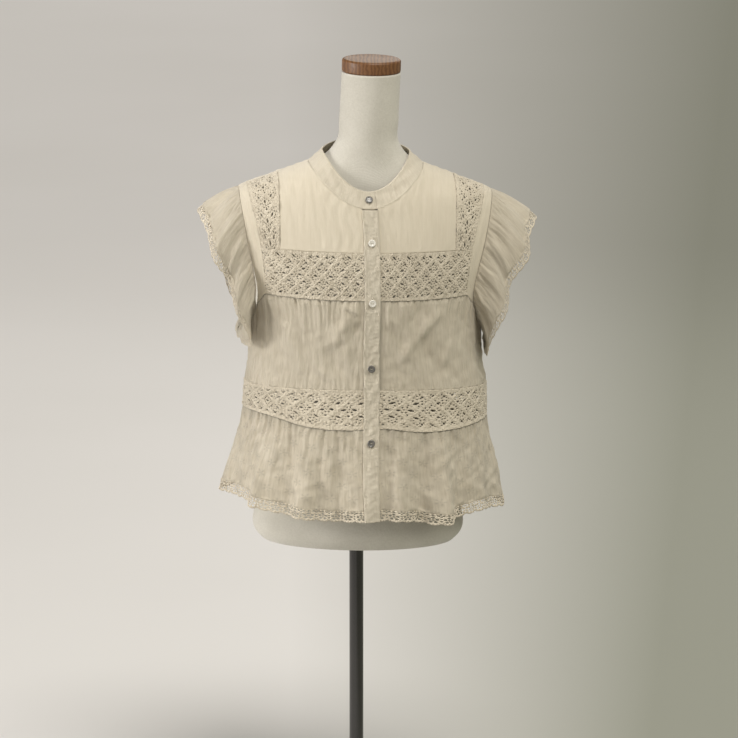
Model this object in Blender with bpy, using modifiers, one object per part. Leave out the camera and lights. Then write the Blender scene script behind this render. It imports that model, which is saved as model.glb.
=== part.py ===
"""A short-sleeved cotton blouse with crochet insertions, buttoned on a limbless dress form on its stand.

Lengths are millimetres in the tables and metres in the meshes. The blouse and the form are drawn upright,
with heights counted from the form's flat underside, and are then leaned and turned together as they stand.
Left and right are the wearer's, so the left side lies at +X and the front faces -Y.
Each cloth piece is a flat slab of unit size that is bent onto the blouse's skin between its four seams.
"""

import math

import bmesh
import bpy
import numpy as np

MM = 0.001
WALL = 1.2
GAP = 0.3

# The stand
FORM_UNDERSIDE = 460.0
LEAN = math.radians(1.4)
TURN = math.radians(4.5)
BASE_RADIUS = 140.0
BASE_THICK = 12.0
POLE_RADIUS = 11.0
SOCKET_RADIUS = 19.0
SOCKET_HEIGHT = 45.0
CAP_RADIUS = 45.0
CAP_THICK = 20.0
NECK_TOP = 731.5

# The dress form from the underside to the neck's flat top: height, half width, front, back, aside
FORM_SECTIONS = (
    (0.0, 149.0, 88.0, 84.0, 2.0),
    (7.0, 156.0, 94.0, 90.0, 2.0),
    (60.0, 159.0, 97.0, 93.0, 2.0),
    (130.0, 154.0, 94.0, 88.0, 2.0),
    (210.0, 139.0, 86.0, 78.0, 2.0),
    (280.0, 145.0, 92.0, 82.0, 2.0),
    (345.0, 160.0, 104.0, 90.0, 1.0),
    (400.0, 168.0, 107.0, 96.0, 0.0),
    (450.0, 175.0, 98.0, 98.0, 0.0),
    (495.0, 180.0, 84.0, 90.0, 0.0),
    (528.0, 183.0, 71.0, 78.0, 0.0),
    (545.0, 181.0, 64.0, 71.0, 0.0),
    (554.0, 175.5, 60.0, 67.0, 0.0),
    (564.8, 156.0, 57.0, 64.0, 0.0),
    (577.8, 121.0, 53.0, 60.0, 0.3),
    (589.4, 87.0, 50.0, 57.0, 0.8),
    (600.0, 68.0, 48.0, 53.0, 1.4),
    (622.0, 49.0, 46.0, 48.0, 2.3),
    (660.0, 45.5, 45.0, 45.5, 3.5),
    (700.0, 45.0, 45.0, 45.0, 4.6),
    (NECK_TOP, 45.0, 45.0, 45.0, 5.4),
)
FORM_SIDES = 28

# The blouse's skin from the hem to the neck: height, half width, front, back, aside
SKIN_SECTIONS = (
    (40.0, 210.0, 129.0, 124.0, 5.0),
    (90.0, 205.0, 126.0, 120.0, 6.0),
    (150.0, 196.0, 120.0, 112.0, 7.0),
    (200.0, 189.0, 115.0, 105.0, 8.0),
    (256.0, 186.0, 113.0, 103.0, 8.0),
    (285.0, 181.0, 113.0, 102.0, 7.0),
    (335.0, 178.0, 116.0, 103.0, 4.0),
    (376.0, 178.0, 119.0, 106.0, 2.0),
    (401.0, 184.0, 119.0, 108.0, 1.0),
    (440.0, 198.0, 116.0, 110.0, 0.0),
    (481.0, 209.0, 108.0, 109.0, 0.0),
    (520.0, 210.0, 97.0, 102.0, 0.0),
    (544.0, 201.0, 88.0, 93.0, 0.0),
    (552.0, 194.0, 84.0, 89.0, 0.0),
    (567.0, 156.0, 76.0, 82.0, 0.0),
    (580.0, 121.0, 70.0, 77.0, 0.0),
    (592.0, 88.0, 64.0, 73.0, 0.0),
    (604.0, 78.0, 58.0, 70.0, 0.0),
)
LOWEST_SHOULDER = 548.0

# Seams that run round the body, as angle and height: 0 is the centre front, the wearer's left positive
WAIST_TOP_FRONT = 259.0
WAIST_TOP_DROP = 8.0
WAIST_SEAM = (
    (-180.0, 201.0), (-135.0, 206.0), (-90.0, 210.0), (-48.0, 207.0), (-30.0, 198.0), (-12.0, 196.0),
    (6.0, 199.0), (25.0, 192.0), (42.0, 192.0), (70.0, 197.0), (90.0, 199.0), (135.0, 200.0), (180.0, 201.0),
)
HEM = (
    (-180.0, 58.0), (-125.0, 66.0), (-92.0, 74.0), (-64.0, 73.0), (-50.0, 66.0), (-34.0, 60.0), (-14.0, 54.0),
    (6.0, 57.0), (18.0, 55.0), (28.0, 49.0), (38.0, 49.0), (48.0, 56.0), (61.0, 60.0), (80.0, 55.0),
    (100.0, 57.0), (140.0, 58.0), (180.0, 58.0),
)
HEM_LACE = 18.0

# Soft folds of the peplum: angle, rise at the hem, width before it and width after it in degrees
PEPLUM_FOLDS = (
    (-170.0, 10.0, 9.0, 8.0), (-147.0, 12.0, 8.0, 9.0), (-122.0, 9.0, 8.0, 7.0), (-88.0, 15.0, 13.0, 9.0),
    (-52.0, 17.0, 5.0, 8.0), (-28.0, 15.0, 7.0, 6.0), (0.0, 9.0, 7.0, 5.0), (14.0, 12.0, 4.5, 4.5),
    (35.0, 19.0, 7.0, 4.5), (61.0, 8.0, 5.0, 7.0), (82.0, 15.0, 8.0, 10.0), (108.0, 10.0, 7.0, 8.0),
    (131.0, 13.0, 8.0, 8.0), (152.0, 9.0, 7.0, 8.0), (172.0, 8.0, 7.0, 6.0),
)
FOLD_START = 205.0
FOLD_REACH = 150.0

# The yoke: neckline, crochet bands and armholes, as height and place across, or across and height
NECK_FRONT = 535.0
NECK_SIDE = 592.0
NECK_BACK = 600.0
NECK_HALF_WIDTH = 88.0
CHEST_TOP = 471.0
BUST_SEAM = ((0.0, 399.0), (100.0, 399.0), (151.0, 399.0), (153.0, 399.0), (160.0, 390.0), (167.0, 376.0))
SHOULDER_BAND = ((376.0, 134.0, 151.0), (399.0, 134.0, 153.0), (471.0, 134.0, 161.0), (557.0, 135.0, 181.0))
ARMHOLE = (
    (335.0, 178.0), (343.0, 175.9), (355.0, 172.1), (376.0, 167.0), (401.0, 165.5), (430.0, 170.5),
    (458.0, 177.0), (481.0, 182.0), (520.0, 189.0), (544.0, 193.0), (552.0, 194.0),
)
UNDERARM = 335.0
SHOULDER_END = 552.0
BACK_ARMHOLE_EXTRA = 2.0

# The collar band, from its seam at the neckline to its top edge
COLLAR_HALF_WIDTH = 67.0
COLLAR_FRONT = 75.0
COLLAR_BACK = 62.0
COLLAR_TOP_FRONT = 560.0
COLLAR_TOP_SIDE = 611.0
COLLAR_TOP_BACK = 620.0
COLLAR_CLEAR = 0.8

# The button stand, whose middle line runs a little to the wearer's left of the skin's own middle
PLACKET_HALF = 12.0
PLACKET_LINE = (
    (40.0, 9.0), (110.0, 4.0), (177.0, 2.0), (300.0, 1.0), (396.0, 5.0), (486.0, 4.0), (548.0, 0.5),
    (604.0, 0.0),
)
PLACKET_TOP = 534.0
BUTTON_RADIUS = 5.75
BUTTON_THICK = 2.4
BUTTON_HEIGHTS = (548.0, 486.0, 396.0, 293.0, 177.0)

# Gathers under the bust seam: count, how far they stand out, how far down they fade and their breadth
FRONT_GATHERS = 13
BACK_GATHERS = 18
GATHER_RISE = 2.6
GATHER_LENGTH = 55.0
GATHER_BREADTH = 0.36
GATHER_EDGE = 0.06

# Long soft creases of the bust panels: across and height of each end, then depth and width
CREASES = (
    (112.0, 386.0, 40.0, 300.0, 4.5, 9.0),
    (70.0, 352.0, 118.0, 268.0, -3.0, 10.0),
    (-24.0, 388.0, -58.0, 322.0, 4.0, 8.0),
    (-128.0, 372.0, -104.0, 276.0, 3.0, 9.0),
    (-70.0, 330.0, -40.0, 272.0, -3.0, 9.0),
)
CREASE_END = 22.0
CREASE_EDGE = 0.08
SEAM_FADE = 14.0

# The sleeves round the armhole: turn (0 and 1 the underarm, 0.5 the shoulder), out, forward, drop
SLEEVE_RIGHT = (
    (0.0, 3.0, 0.0, 16.0), (0.07, 2.0, 12.0, 34.0), (0.13, 2.0, 22.0, 54.0), (0.19, 14.0, 25.0, 62.0),
    (0.25, 26.0, 23.0, 65.0), (0.31, 33.0, 20.0, 62.0), (0.36, 38.0, 20.0, 72.0), (0.41, 46.0, 18.0, 70.0),
    (0.46, 55.0, 8.0, 52.0), (0.5, 59.0, 0.0, 40.0), (0.56, 49.0, -8.0, 46.0), (0.62, 40.0, -12.0, 56.0),
    (0.7, 33.0, -14.0, 62.0), (0.78, 27.0, -16.0, 58.0), (0.87, 14.0, -13.0, 50.0), (0.94, 6.0, -7.0, 34.0),
    (1.0, 3.0, 0.0, 16.0),
)
SLEEVE_LEFT = (
    (0.0, 4.0, 0.0, 20.0), (0.05, 6.0, 12.0, 44.0), (0.1, 13.0, 18.0, 57.0), (0.17, 31.0, 18.0, 58.0),
    (0.25, 44.0, 14.0, 60.0), (0.31, 46.0, 15.0, 62.0), (0.36, 54.0, 16.0, 66.0), (0.44, 62.0, 14.0, 60.0),
    (0.5, 69.0, 0.0, 46.0), (0.58, 62.0, -8.0, 52.0), (0.68, 52.0, -14.0, 60.0), (0.78, 42.0, -16.0, 58.0),
    (0.88, 26.0, -12.0, 48.0), (0.94, 8.0, -8.0, 32.0), (1.0, 4.0, 0.0, 20.0),
)
# Waves of the sleeves' edges: turn, rise and width
RUFFLES = (
    (0.07, 4.0, 0.022), (0.15, -5.0, 0.026), (0.225, 7.0, 0.028), (0.30, -9.0, 0.030), (0.375, 9.0, 0.028),
    (0.445, -6.0, 0.022), (0.50, 6.0, 0.022), (0.555, -6.0, 0.022), (0.615, 8.0, 0.026), (0.685, -6.0, 0.028),
    (0.76, 6.0, 0.028), (0.84, -6.0, 0.028), (0.925, 4.0, 0.024),
)
SLEEVE_CLOTH = 0.82
SLEEVE_ARCH = 7.0
SLEEVE_START = 0.7
OVER_BODY = 4.2

# How the slabs are bent: rounds of settling, the step that finds a normal and how near rows come to the ridge
ROUNDS = 16
NORMAL_STEP = 0.004
RIDGE_SHARE = 0.999


def column(table, index):
    """One column of a table, as an array."""
    return np.array([row[index] for row in table])


def smooth(x, table, index):
    """A smooth curve through one column of a table: cubic pieces with the neighbouring rows' slopes."""
    places = column(table, 0)
    values = column(table, index)
    slopes = np.gradient(values, places)
    x = np.clip(x, places[0], places[-1])
    k = np.clip(np.searchsorted(places, x) - 1, 0, len(places) - 2)
    step = places[k + 1] - places[k]
    t = (x - places[k]) / step
    start = values[k] * (1 + 2 * t) * (1 - t) ** 2 + slopes[k] * step * t * (1 - t) ** 2
    end = values[k + 1] * t * t * (3 - 2 * t) + slopes[k + 1] * step * t * t * (t - 1)
    return start + end


def rise_in(x):
    """A ramp from 0 to 1 that is level at both ends."""
    x = np.clip(x, 0.0, 1.0)
    return x * x * (3 - 2 * x)


def half_width(height):
    return smooth(height, SKIN_SECTIONS, 1)


def aside(height):
    """How far the skin's middle lies to the wearer's left."""
    return smooth(height, SKIN_SECTIONS, 4)


def fold_rise(angle, height):
    """How far the peplum's folds stand out: bell-shaped ridges that grow from the waist seam to the hem."""
    degrees = np.degrees(angle)
    total = np.zeros_like(degrees)
    for centre, rise, before, after in PEPLUM_FOLDS:
        off = (degrees - centre + 180.0) % 360.0 - 180.0
        width = np.where(off < 0, before, after)
        total = total + rise * np.exp(-((off / width) ** 2))
    return total * rise_in((FOLD_START - height) / FOLD_REACH)


def skin(angle, height, lift=0.0):
    """The blouse's outer skin: half ellipses in front and behind, with the peplum's folds and a lift."""
    angle = np.asarray(angle, float)
    height = np.asarray(height, float)
    depth = np.where(np.cos(angle) > 0, smooth(height, SKIN_SECTIONS, 2), smooth(height, SKIN_SECTIONS, 3))
    out = fold_rise(angle, height) + lift
    x = aside(height) + (half_width(height) + out) * np.sin(angle)
    y = -(depth + out) * np.cos(angle)
    return np.stack([x, y, height + 0 * x], axis=-1)


def angle_of(across, height):
    """The angle of the skin's point that lies this far across at this height, on the front."""
    return np.arcsin(np.clip(across / half_width(height), -1.0, 1.0))


def ridge(across):
    """The height of the shoulder, where the front and the back of the skin meet."""
    heights = np.linspace(SKIN_SECTIONS[-1][0], LOWEST_SHOULDER, 6000)
    return np.interp(np.abs(across), half_width(heights), heights)


def front_top(across):
    """The upper edge of the front: the neckline, and outside it the shoulder seam."""
    across = np.abs(across)
    neckline = NECK_FRONT + (NECK_SIDE - NECK_FRONT) * (across / NECK_HALF_WIDTH) ** 2
    return np.where(across < NECK_HALF_WIDTH, neckline, ridge(across))


def back_top(across):
    """The upper edge of the back."""
    across = np.abs(across)
    neckline = NECK_BACK + (NECK_SIDE - NECK_BACK) * (across / NECK_HALF_WIDTH) ** 2
    return np.where(across < NECK_HALF_WIDTH, neckline, ridge(across))


def bust_seam(across):
    return smooth(np.abs(across), BUST_SEAM, 1)


def armhole(height):
    return smooth(height, ARMHOLE, 1)


def back_seam(across):
    return BUST_SEAM[0][1] + 0 * across


def edge_by_angle(seam, end):
    """A seam that is known by its place across, then the armhole below it, as angles and heights."""
    across = np.linspace(0.0, end, 300)
    seam_heights = seam(across)
    heights = np.linspace(seam_heights[-1], UNDERARM, 120)[1:]
    seam_angles = np.arcsin(across / half_width(seam_heights))
    arm_angles = np.arcsin(np.clip(armhole(heights) / half_width(heights), 0.0, 1.0))
    return np.concatenate([seam_angles, arm_angles]), np.concatenate([seam_heights, heights])


def lower_top(angle):
    """The upper edge of the gathered panels by angle: the seam under the yoke, then the armhole."""
    front_angles, front_heights = edge_by_angle(bust_seam, BUST_SEAM[-1][0])
    back_angles, back_heights = edge_by_angle(back_seam, float(armhole(BUST_SEAM[0][1])))
    turned_by = np.abs(angle)
    front = np.interp(turned_by, front_angles, front_heights)
    back = np.interp(np.abs(math.pi - turned_by), back_angles, back_heights)
    return np.where(turned_by < math.pi / 2, front, back)


def waist_top(angle):
    return WAIST_TOP_FRONT - WAIST_TOP_DROP * np.sin(angle) ** 2


def round_seam(angle, table):
    degrees = (np.degrees(angle) + 180.0) % 360.0 - 180.0
    return smooth(degrees, table, 1)


def waist_seam(angle):
    return round_seam(angle, WAIST_SEAM)


def hem(angle):
    return round_seam(angle, HEM)


def lace_top(angle):
    return hem(angle) + HEM_LACE


def placket_line(height):
    return smooth(height, PLACKET_LINE, 1)


def settle(u, v, first, last, bottom, top, ease):
    """The place on the skin that is u of the way from the first side to the last and v of the way up.

    Each side gives a place across for a height and each edge a height for a place across, so the pair is
    found by going back and forth between them until it stays.
    """
    height = bottom(0.5 * (first(WAIST_TOP_FRONT) + last(WAIST_TOP_FRONT))) + 0 * u
    for _ in range(ROUNDS):
        across = (1 - u) * first(height) + u * last(height)
        low = bottom(across) + GAP / 2
        high = top(across) - (GAP / 2 if ease is even else 0.0)
        height = low + (high - low) * ease(v)
    return across, height


def even(v):
    return v


def to_ridge(v):
    """Rows that crowd towards the shoulder, where the skin turns over; the last stops just short of it."""
    return np.sin(0.5 * math.pi * RIDGE_SHARE * v)


def new_material(name, colour, roughness, metallic=0.0):
    material = bpy.data.materials.new(name)
    material.use_nodes = True
    shader = material.node_tree.nodes["Principled BSDF"]
    shader.inputs["Base Color"].default_value = (*colour, 1.0)
    shader.inputs["Roughness"].default_value = roughness
    shader.inputs["Metallic"].default_value = metallic
    material.diffuse_color = (*colour, 1.0)
    return material


def new_part(name, mesh, material, parent=None):
    mesh.materials.append(material)
    mesh.shade_smooth()
    mesh.set_sharp_from_angle(angle=math.radians(40))
    part = bpy.data.objects.new(name, mesh)
    parts.objects.link(part)
    part.parent = parent
    return part


def neck_columns(share):
    """Columns at equal turns round the neck, over this share of a piece, and even ones to the armhole."""

    def spread(u, start, end):
        ends = np.clip([start / NECK_HALF_WIDTH, end / NECK_HALF_WIDTH], -1.0, 1.0)
        low, high = np.arcsin(ends)
        before = 0.0 if low > -math.pi / 2 else (1 - share) / (1 if high < math.pi / 2 else 2)
        after = before + share
        at_neck = NECK_HALF_WIDTH * np.sin(low + (high - low) * np.clip((u - before) / share, 0.0, 1.0))
        outside = np.where(u < before, start + (-NECK_HALF_WIDTH - start) * u / max(before, 0.001), at_neck)
        beyond = NECK_HALF_WIDTH + (end - NECK_HALF_WIDTH) * (u - after) / max(1 - after, 0.001)
        return np.where(u > after, beyond, outside)

    return spread


def bent_slab(name, columns, rows, place, material, wall=WALL, flip=False):
    """A unit slab, bent so that its outer face follows place(u, v) and the wall lies inside it."""
    shape = bmesh.new()
    bmesh.ops.create_grid(shape, x_segments=columns, y_segments=rows, size=0.5)
    made = bmesh.ops.extrude_face_region(shape, geom=shape.faces[:], use_keep_orig=True)
    outer = [item for item in made["geom"] if isinstance(item, bmesh.types.BMVert)]
    bmesh.ops.translate(shape, verts=outer, vec=(0.0, 0.0, 1.0))
    bmesh.ops.recalc_face_normals(shape, faces=shape.faces[:])
    if flip:
        bmesh.ops.reverse_faces(shape, faces=shape.faces[:])
    unit = np.array([vertex.co[:] for vertex in shape.verts])
    u, v, w = unit[:, 0] + 0.5, unit[:, 1] + 0.5, unit[:, 2]
    after, before = np.minimum(u + NORMAL_STEP, 1.0), np.maximum(u - NORMAL_STEP, 0.0)
    above, below = np.minimum(v + NORMAL_STEP, 1.0), np.maximum(v - NORMAL_STEP, 0.0)
    normal = np.cross(place(after, v) - place(before, v), place(u, above) - place(u, below))
    normal /= np.linalg.norm(normal, axis=1)[:, None]
    if flip:
        normal = -normal
    points = place(u, v) + (w - 1.0)[:, None] * wall * normal
    for vertex, point in zip(shape.verts, points):
        vertex.co = point * MM
    mesh = bpy.data.meshes.new(name)
    shape.to_mesh(mesh)
    shape.free()
    return new_part(name, mesh, material, stance)


def upper_piece(
    name, columns, rows, first, last, bottom, top, material, back=False, ease=to_ridge, spread=None
):
    """A piece of the yoke: its sides are places across in millimetres; spread sets out its columns."""
    start, end = first(NECK_SIDE), last(NECK_SIDE)

    def place(u, v):
        if spread:
            u = (spread(u, start, end) - start) / (end - start)
        across, height = settle(u, v, first, last, bottom, top, ease)
        angle = angle_of(across, height)
        return skin(math.pi - angle if back else angle, height)

    return bent_slab(name, columns, rows, place, material, flip=back)


def lower_piece(name, columns, rows, first, last, bottom, top, material, lift=None):
    """A piece below the yoke: its sides are angles round the body."""

    def place(u, v):
        angle, height = settle(u, v, first, last, bottom, top, even)
        extra = lift(u, angle, height) if lift else 0.0
        return skin(angle, height, extra)

    return bent_slab(name, columns, rows, place, material)


def gathers(count):
    """Ridges that start under the seam, stand out most a little below it and fade at uneven lengths."""

    def lift(u, angle, height):
        below = lower_top(angle) - height
        total = 0.0
        for k in range(count):
            middle = (k + 0.5 + 0.22 * math.sin(2.4 * k)) / count
            rise = GATHER_RISE * (1.0 + 0.35 * math.sin(1.7 * k))
            length = GATHER_LENGTH * (1.0 + 0.5 * math.sin(2.9 * k + 1.0))
            across = np.exp(-(((u - middle) * count / GATHER_BREADTH) ** 2))
            total = total + rise * across * np.exp(-((below / length) ** 2))
        ends = rise_in(u / GATHER_EDGE) * rise_in((1 - u) / GATHER_EDGE)
        return total * rise_in(below / SEAM_FADE) * ends

    return lift


def creases(u, angle, height):
    """Long soft ridges and troughs across the bust, bell-shaped across and faded at both ends."""
    across = half_width(height) * np.sin(angle)
    total = 0.0
    for x0, z0, x1, z1, depth, width in CREASES:
        length = math.hypot(x1 - x0, z1 - z0)
        along = ((across - x0) * (x1 - x0) + (height - z0) * (z1 - z0)) / length
        off = ((across - x0) * (z1 - z0) - (height - z0) * (x1 - x0)) / length
        ends = rise_in(along / CREASE_END) * rise_in((length - along) / CREASE_END)
        total = total + depth * ends * np.exp(-((off / width) ** 2))
    below, above = lower_top(angle) - height, height - waist_top(angle)
    edges = rise_in(below / SEAM_FADE) * rise_in(above / SEAM_FADE)
    return total * edges * rise_in(u / CREASE_EDGE) * rise_in((1 - u) / CREASE_EDGE)


def front_lift(u, angle, height):
    return gathers(FRONT_GATHERS)(u, angle, height) + creases(u, angle, height)


def turned(name, profile, sides, material, parent=None, place=(0.0, 0.0, 0.0)):
    """A round piece: a profile of radius and height, from the top down its outer side, turned by a Screw."""
    mesh = bpy.data.meshes.new(name)
    points = [(radius * MM, 0.0, height * MM) for radius, height in profile]
    mesh.from_pydata(points, [(k, k + 1) for k in range(len(points) - 1)], [])
    part = new_part(name, mesh, material, parent)
    part.location = [value * MM for value in place]
    screw = part.modifiers.new("turn", "SCREW")
    screw.axis = "Z"
    screw.steps = sides
    screw.render_steps = sides
    screw.use_merge_vertices = True
    screw.merge_threshold = 0.00001
    return part


for old in list(bpy.data.objects):
    bpy.data.objects.remove(old)

parts = bpy.data.collections.new("blouse_on_dress_form")
bpy.context.scene.collection.children.link(parts)

stance = bpy.data.objects.new("stance", None)
parts.objects.link(stance)
stance.location = (0.0, 0.0, FORM_UNDERSIDE * MM)
stance.rotation_euler = (0.0, LEAN, TURN)

cotton = new_material("cream_gauze", (0.66, 0.60, 0.47), 0.85)
crochet = new_material("cream_crochet", (0.60, 0.53, 0.41), 0.9)
cover = new_material("form_cover", (0.68, 0.65, 0.58), 0.8)
wood = new_material("cap_wood", (0.30, 0.14, 0.06), 0.45)
dark_metal = new_material("stand_metal", (0.05, 0.045, 0.04), 0.3, 0.9)
shell = new_material("shell_button", (0.55, 0.52, 0.45), 0.25)


# The stand: a round base, a socket for the pole and the pole up to the form
def build_stand():
    rim = 2.0
    turned("base", (
        (0.0, BASE_THICK), (BASE_RADIUS - rim, BASE_THICK), (BASE_RADIUS, BASE_THICK - rim),
        (BASE_RADIUS, 0.8), (BASE_RADIUS - 0.8, 0.0), (0.0, 0.0),
    ), 40, dark_metal)
    bore = POLE_RADIUS + GAP
    foot = BASE_THICK + GAP
    top = foot + SOCKET_HEIGHT
    turned("base_socket", (
        (bore, top), (SOCKET_RADIUS - 2.0, top), (SOCKET_RADIUS, top - 2.0), (SOCKET_RADIUS, foot + 12.0),
        (SOCKET_RADIUS + 9.0, foot + 5.0), (SOCKET_RADIUS + 11.0, foot), (bore, foot), (bore, top),
    ), 20, dark_metal)
    pole_top = FORM_UNDERSIDE - GAP - POLE_RADIUS * math.tan(LEAN)
    rod = ((0.0, pole_top), (POLE_RADIUS, pole_top), (POLE_RADIUS, foot), (0.0, foot))
    turned("pole", rod, 20, dark_metal)


# The form: one closed body lofted through its sections, and the turned cap on its neck
def build_form():
    shape = bmesh.new()
    turns = [2 * math.pi * k / FORM_SIDES for k in range(FORM_SIDES)]
    rings = []
    for height, wide, front, back, shift in FORM_SECTIONS:
        ring = []
        for turn in turns:
            depth = front if math.cos(turn) > 0 else back
            point = ((shift + wide * math.sin(turn)) * MM, -depth * math.cos(turn) * MM, height * MM)
            ring.append(shape.verts.new(point))
        rings.append(ring)
    for lower, upper in zip(rings, rings[1:]):
        for k in range(FORM_SIDES):
            after = (k + 1) % FORM_SIDES
            shape.faces.new((lower[k], lower[after], upper[after], upper[k]))
    shape.faces.new(rings[0])
    shape.faces.new(rings[-1])
    bmesh.ops.recalc_face_normals(shape, faces=shape.faces[:])
    mesh = bpy.data.meshes.new("dress_form")
    shape.to_mesh(mesh)
    shape.free()
    new_part("dress_form", mesh, cover, stance)
    edge = 2.5
    low = NECK_TOP + GAP
    turned("neck_cap", (
        (0.0, low + CAP_THICK), (CAP_RADIUS - edge, low + CAP_THICK), (CAP_RADIUS, low + CAP_THICK - edge),
        (CAP_RADIUS, low + edge), (CAP_RADIUS - edge, low), (0.0, low),
    ), 28, wood, stance, (FORM_SECTIONS[-1][4], 0.0, 0.0))


# The yoke: plain fronts and back, the crochet bands and the strips along the front armholes
def build_yoke():
    half_gap = GAP / 2

    def side_of(sign, curve, inset):
        return lambda height: sign * (curve(height) + inset)

    def band_inner(height):
        return smooth(height, SHOULDER_BAND, 1)

    def band_outer(height):
        return smooth(height, SHOULDER_BAND, 2)

    def chest_top(across):
        return CHEST_TOP + 0 * across

    for side, sign in (("right", -1), ("left", 1)):
        def stand_edge(height, sign=sign):
            return placket_line(height) + sign * (PLACKET_HALF + half_gap)

        def ordered(near, far):
            return (far, near) if sign < 0 else (near, far)

        first, last = ordered(stand_edge, side_of(sign, band_inner, -half_gap))
        upper_piece(
            f"yoke_front_{side}", 12, 8, first, last, chest_top, front_top, cotton, spread=neck_columns(0.75)
        )
        first, last = ordered(side_of(sign, band_inner, half_gap), side_of(sign, band_outer, -half_gap))
        upper_piece(f"shoulder_lace_{side}", 4, 8, first, last, chest_top, ridge, crochet)
        first, last = ordered(stand_edge, side_of(sign, band_outer, -half_gap))
        upper_piece(f"chest_lace_{side}", 12, 4, first, last, bust_seam, chest_top, crochet, ease=even)
        first, last = ordered(side_of(sign, band_outer, half_gap), side_of(sign, armhole, 0.0))
        upper_piece(f"armhole_front_{side}", 5, 10, first, last, bust_seam, ridge, cotton)

    def back_side(sign):
        def curve(height):
            middle = rise_in((height - 376.0) / 60.0) * rise_in((552.0 - height) / 30.0)
            return sign * (armhole(height) - BACK_ARMHOLE_EXTRA * middle)
        return curve

    upper_piece(
        "yoke_back", 28, 9, back_side(-1), back_side(1), back_seam, back_top, cotton, back=True,
        spread=neck_columns(0.714)
    )


# The gathered panels between the yoke and the waist, the crochet waist band, the peplum and its lace
def build_body():
    quarter = math.pi / 2
    seam_turn = GAP / 2 / 180.0

    def stand_angle(sign):
        return lambda height: angle_of(placket_line(height) + sign * (PLACKET_HALF + GAP / 2), height)

    def fixed(value):
        return lambda height: value + 0 * height

    spans = (
        ("front_right", fixed(-quarter + seam_turn), stand_angle(-1)),
        ("front_left", stand_angle(1), fixed(quarter - seam_turn)),
        ("back", fixed(quarter + seam_turn), fixed(3 * quarter - seam_turn)),
    )
    for span, first, last in spans:
        back = span == "back"
        lift = gathers(BACK_GATHERS) if back else front_lift
        lower_piece(f"bodice_{span}", 40 if back else 36, 8, first, last, waist_top, lower_top, cotton, lift)
        lower_piece(f"waist_lace_{span}", 36 if back else 24, 2, first, last, waist_seam, waist_top, crochet)
        lower_piece(f"peplum_{span}", 36 if back else 24, 6, first, last, lace_top, waist_seam, cotton)
        lower_piece(f"hem_lace_{span}", 36 if back else 24, 1, first, last, hem, lace_top, crochet)


# The collar band, the two layers of the button stand and the five buttons
def build_front_closing():
    def neck_edge(turn):
        """The neckline by the turn round the neck, 0 at the centre front."""
        across = NECK_HALF_WIDTH * np.sin(turn)
        facing = np.cos(turn) > 0
        height = np.where(facing, front_top(across), back_top(across))
        angle = angle_of(across, height)
        return skin(np.where(facing, angle, math.pi - angle), height)

    def collar_top(turn):
        facing = np.cos(turn) > 0
        share = np.sin(turn) ** 2
        x = COLLAR_HALF_WIDTH * np.sin(turn)
        y = -np.where(facing, COLLAR_FRONT, COLLAR_BACK) * np.cos(turn)
        centre = np.where(facing, COLLAR_TOP_FRONT, COLLAR_TOP_BACK)
        return np.stack([x, y, centre + (COLLAR_TOP_SIDE - centre) * share], axis=-1)

    overlap = math.asin(PLACKET_HALF / NECK_HALF_WIDTH)

    def collar(u, v):
        turn = overlap + 0.004 + u * (2 * math.pi - 0.008)
        low = neck_edge(turn)
        high = collar_top(turn)
        along = high - low
        low = low + along * (COLLAR_CLEAR / np.linalg.norm(along, axis=-1))[:, None]
        return low + (high - low) * v[:, None]

    bent_slab("collar_band", 40, 2, collar, cotton)

    def stand(lift, top):
        def place(u, v):
            bottom = hem(0.0) + 0.5
            height = bottom + (top - bottom) * v
            across = placket_line(height) + (2 * u - 1) * (PLACKET_HALF - GAP / 2)
            return skin(angle_of(across, height), height, lift)
        return place

    bent_slab("under_placket", 2, 18, stand(0.0, PLACKET_TOP), cotton)
    bent_slab("placket", 2, 18, stand(WALL + GAP, PLACKET_TOP), cotton)

    for number, height in enumerate(BUTTON_HEIGHTS, 1):
        across = placket_line(height)
        on_collar = height > PLACKET_TOP
        if on_collar:
            share = (height - NECK_FRONT) / (COLLAR_TOP_FRONT - NECK_FRONT)
            low, high = neck_edge(np.array([0.0]))[0], collar_top(np.array([0.0]))[0]
            centre = low + (high - low) * share
            up = (high - low) / np.linalg.norm(high - low)
            lift = GAP
        else:
            centre = skin(angle_of(across, height), height)
            up = skin(angle_of(across, height + 4.0), height + 4.0) - centre
            up /= np.linalg.norm(up)
            lift = 2 * GAP + WALL
        forward = np.array([0.0, -up[2], up[1]])
        centre = centre + forward * lift
        rim, well = 0.7, 0.7
        button = turned(f"button_{number}", (
            (0.0, BUTTON_THICK - well), (BUTTON_RADIUS * 0.55, BUTTON_THICK - well),
            (BUTTON_RADIUS * 0.72, BUTTON_THICK), (BUTTON_RADIUS - rim, BUTTON_THICK),
            (BUTTON_RADIUS, BUTTON_THICK - rim), (BUTTON_RADIUS, rim), (BUTTON_RADIUS - rim, 0.0), (0.0, 0.0),
        ), 12, shell, stance, centre)
        button.rotation_euler = (math.atan2(-forward[1], forward[2]), 0.0, 0.0)


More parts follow.
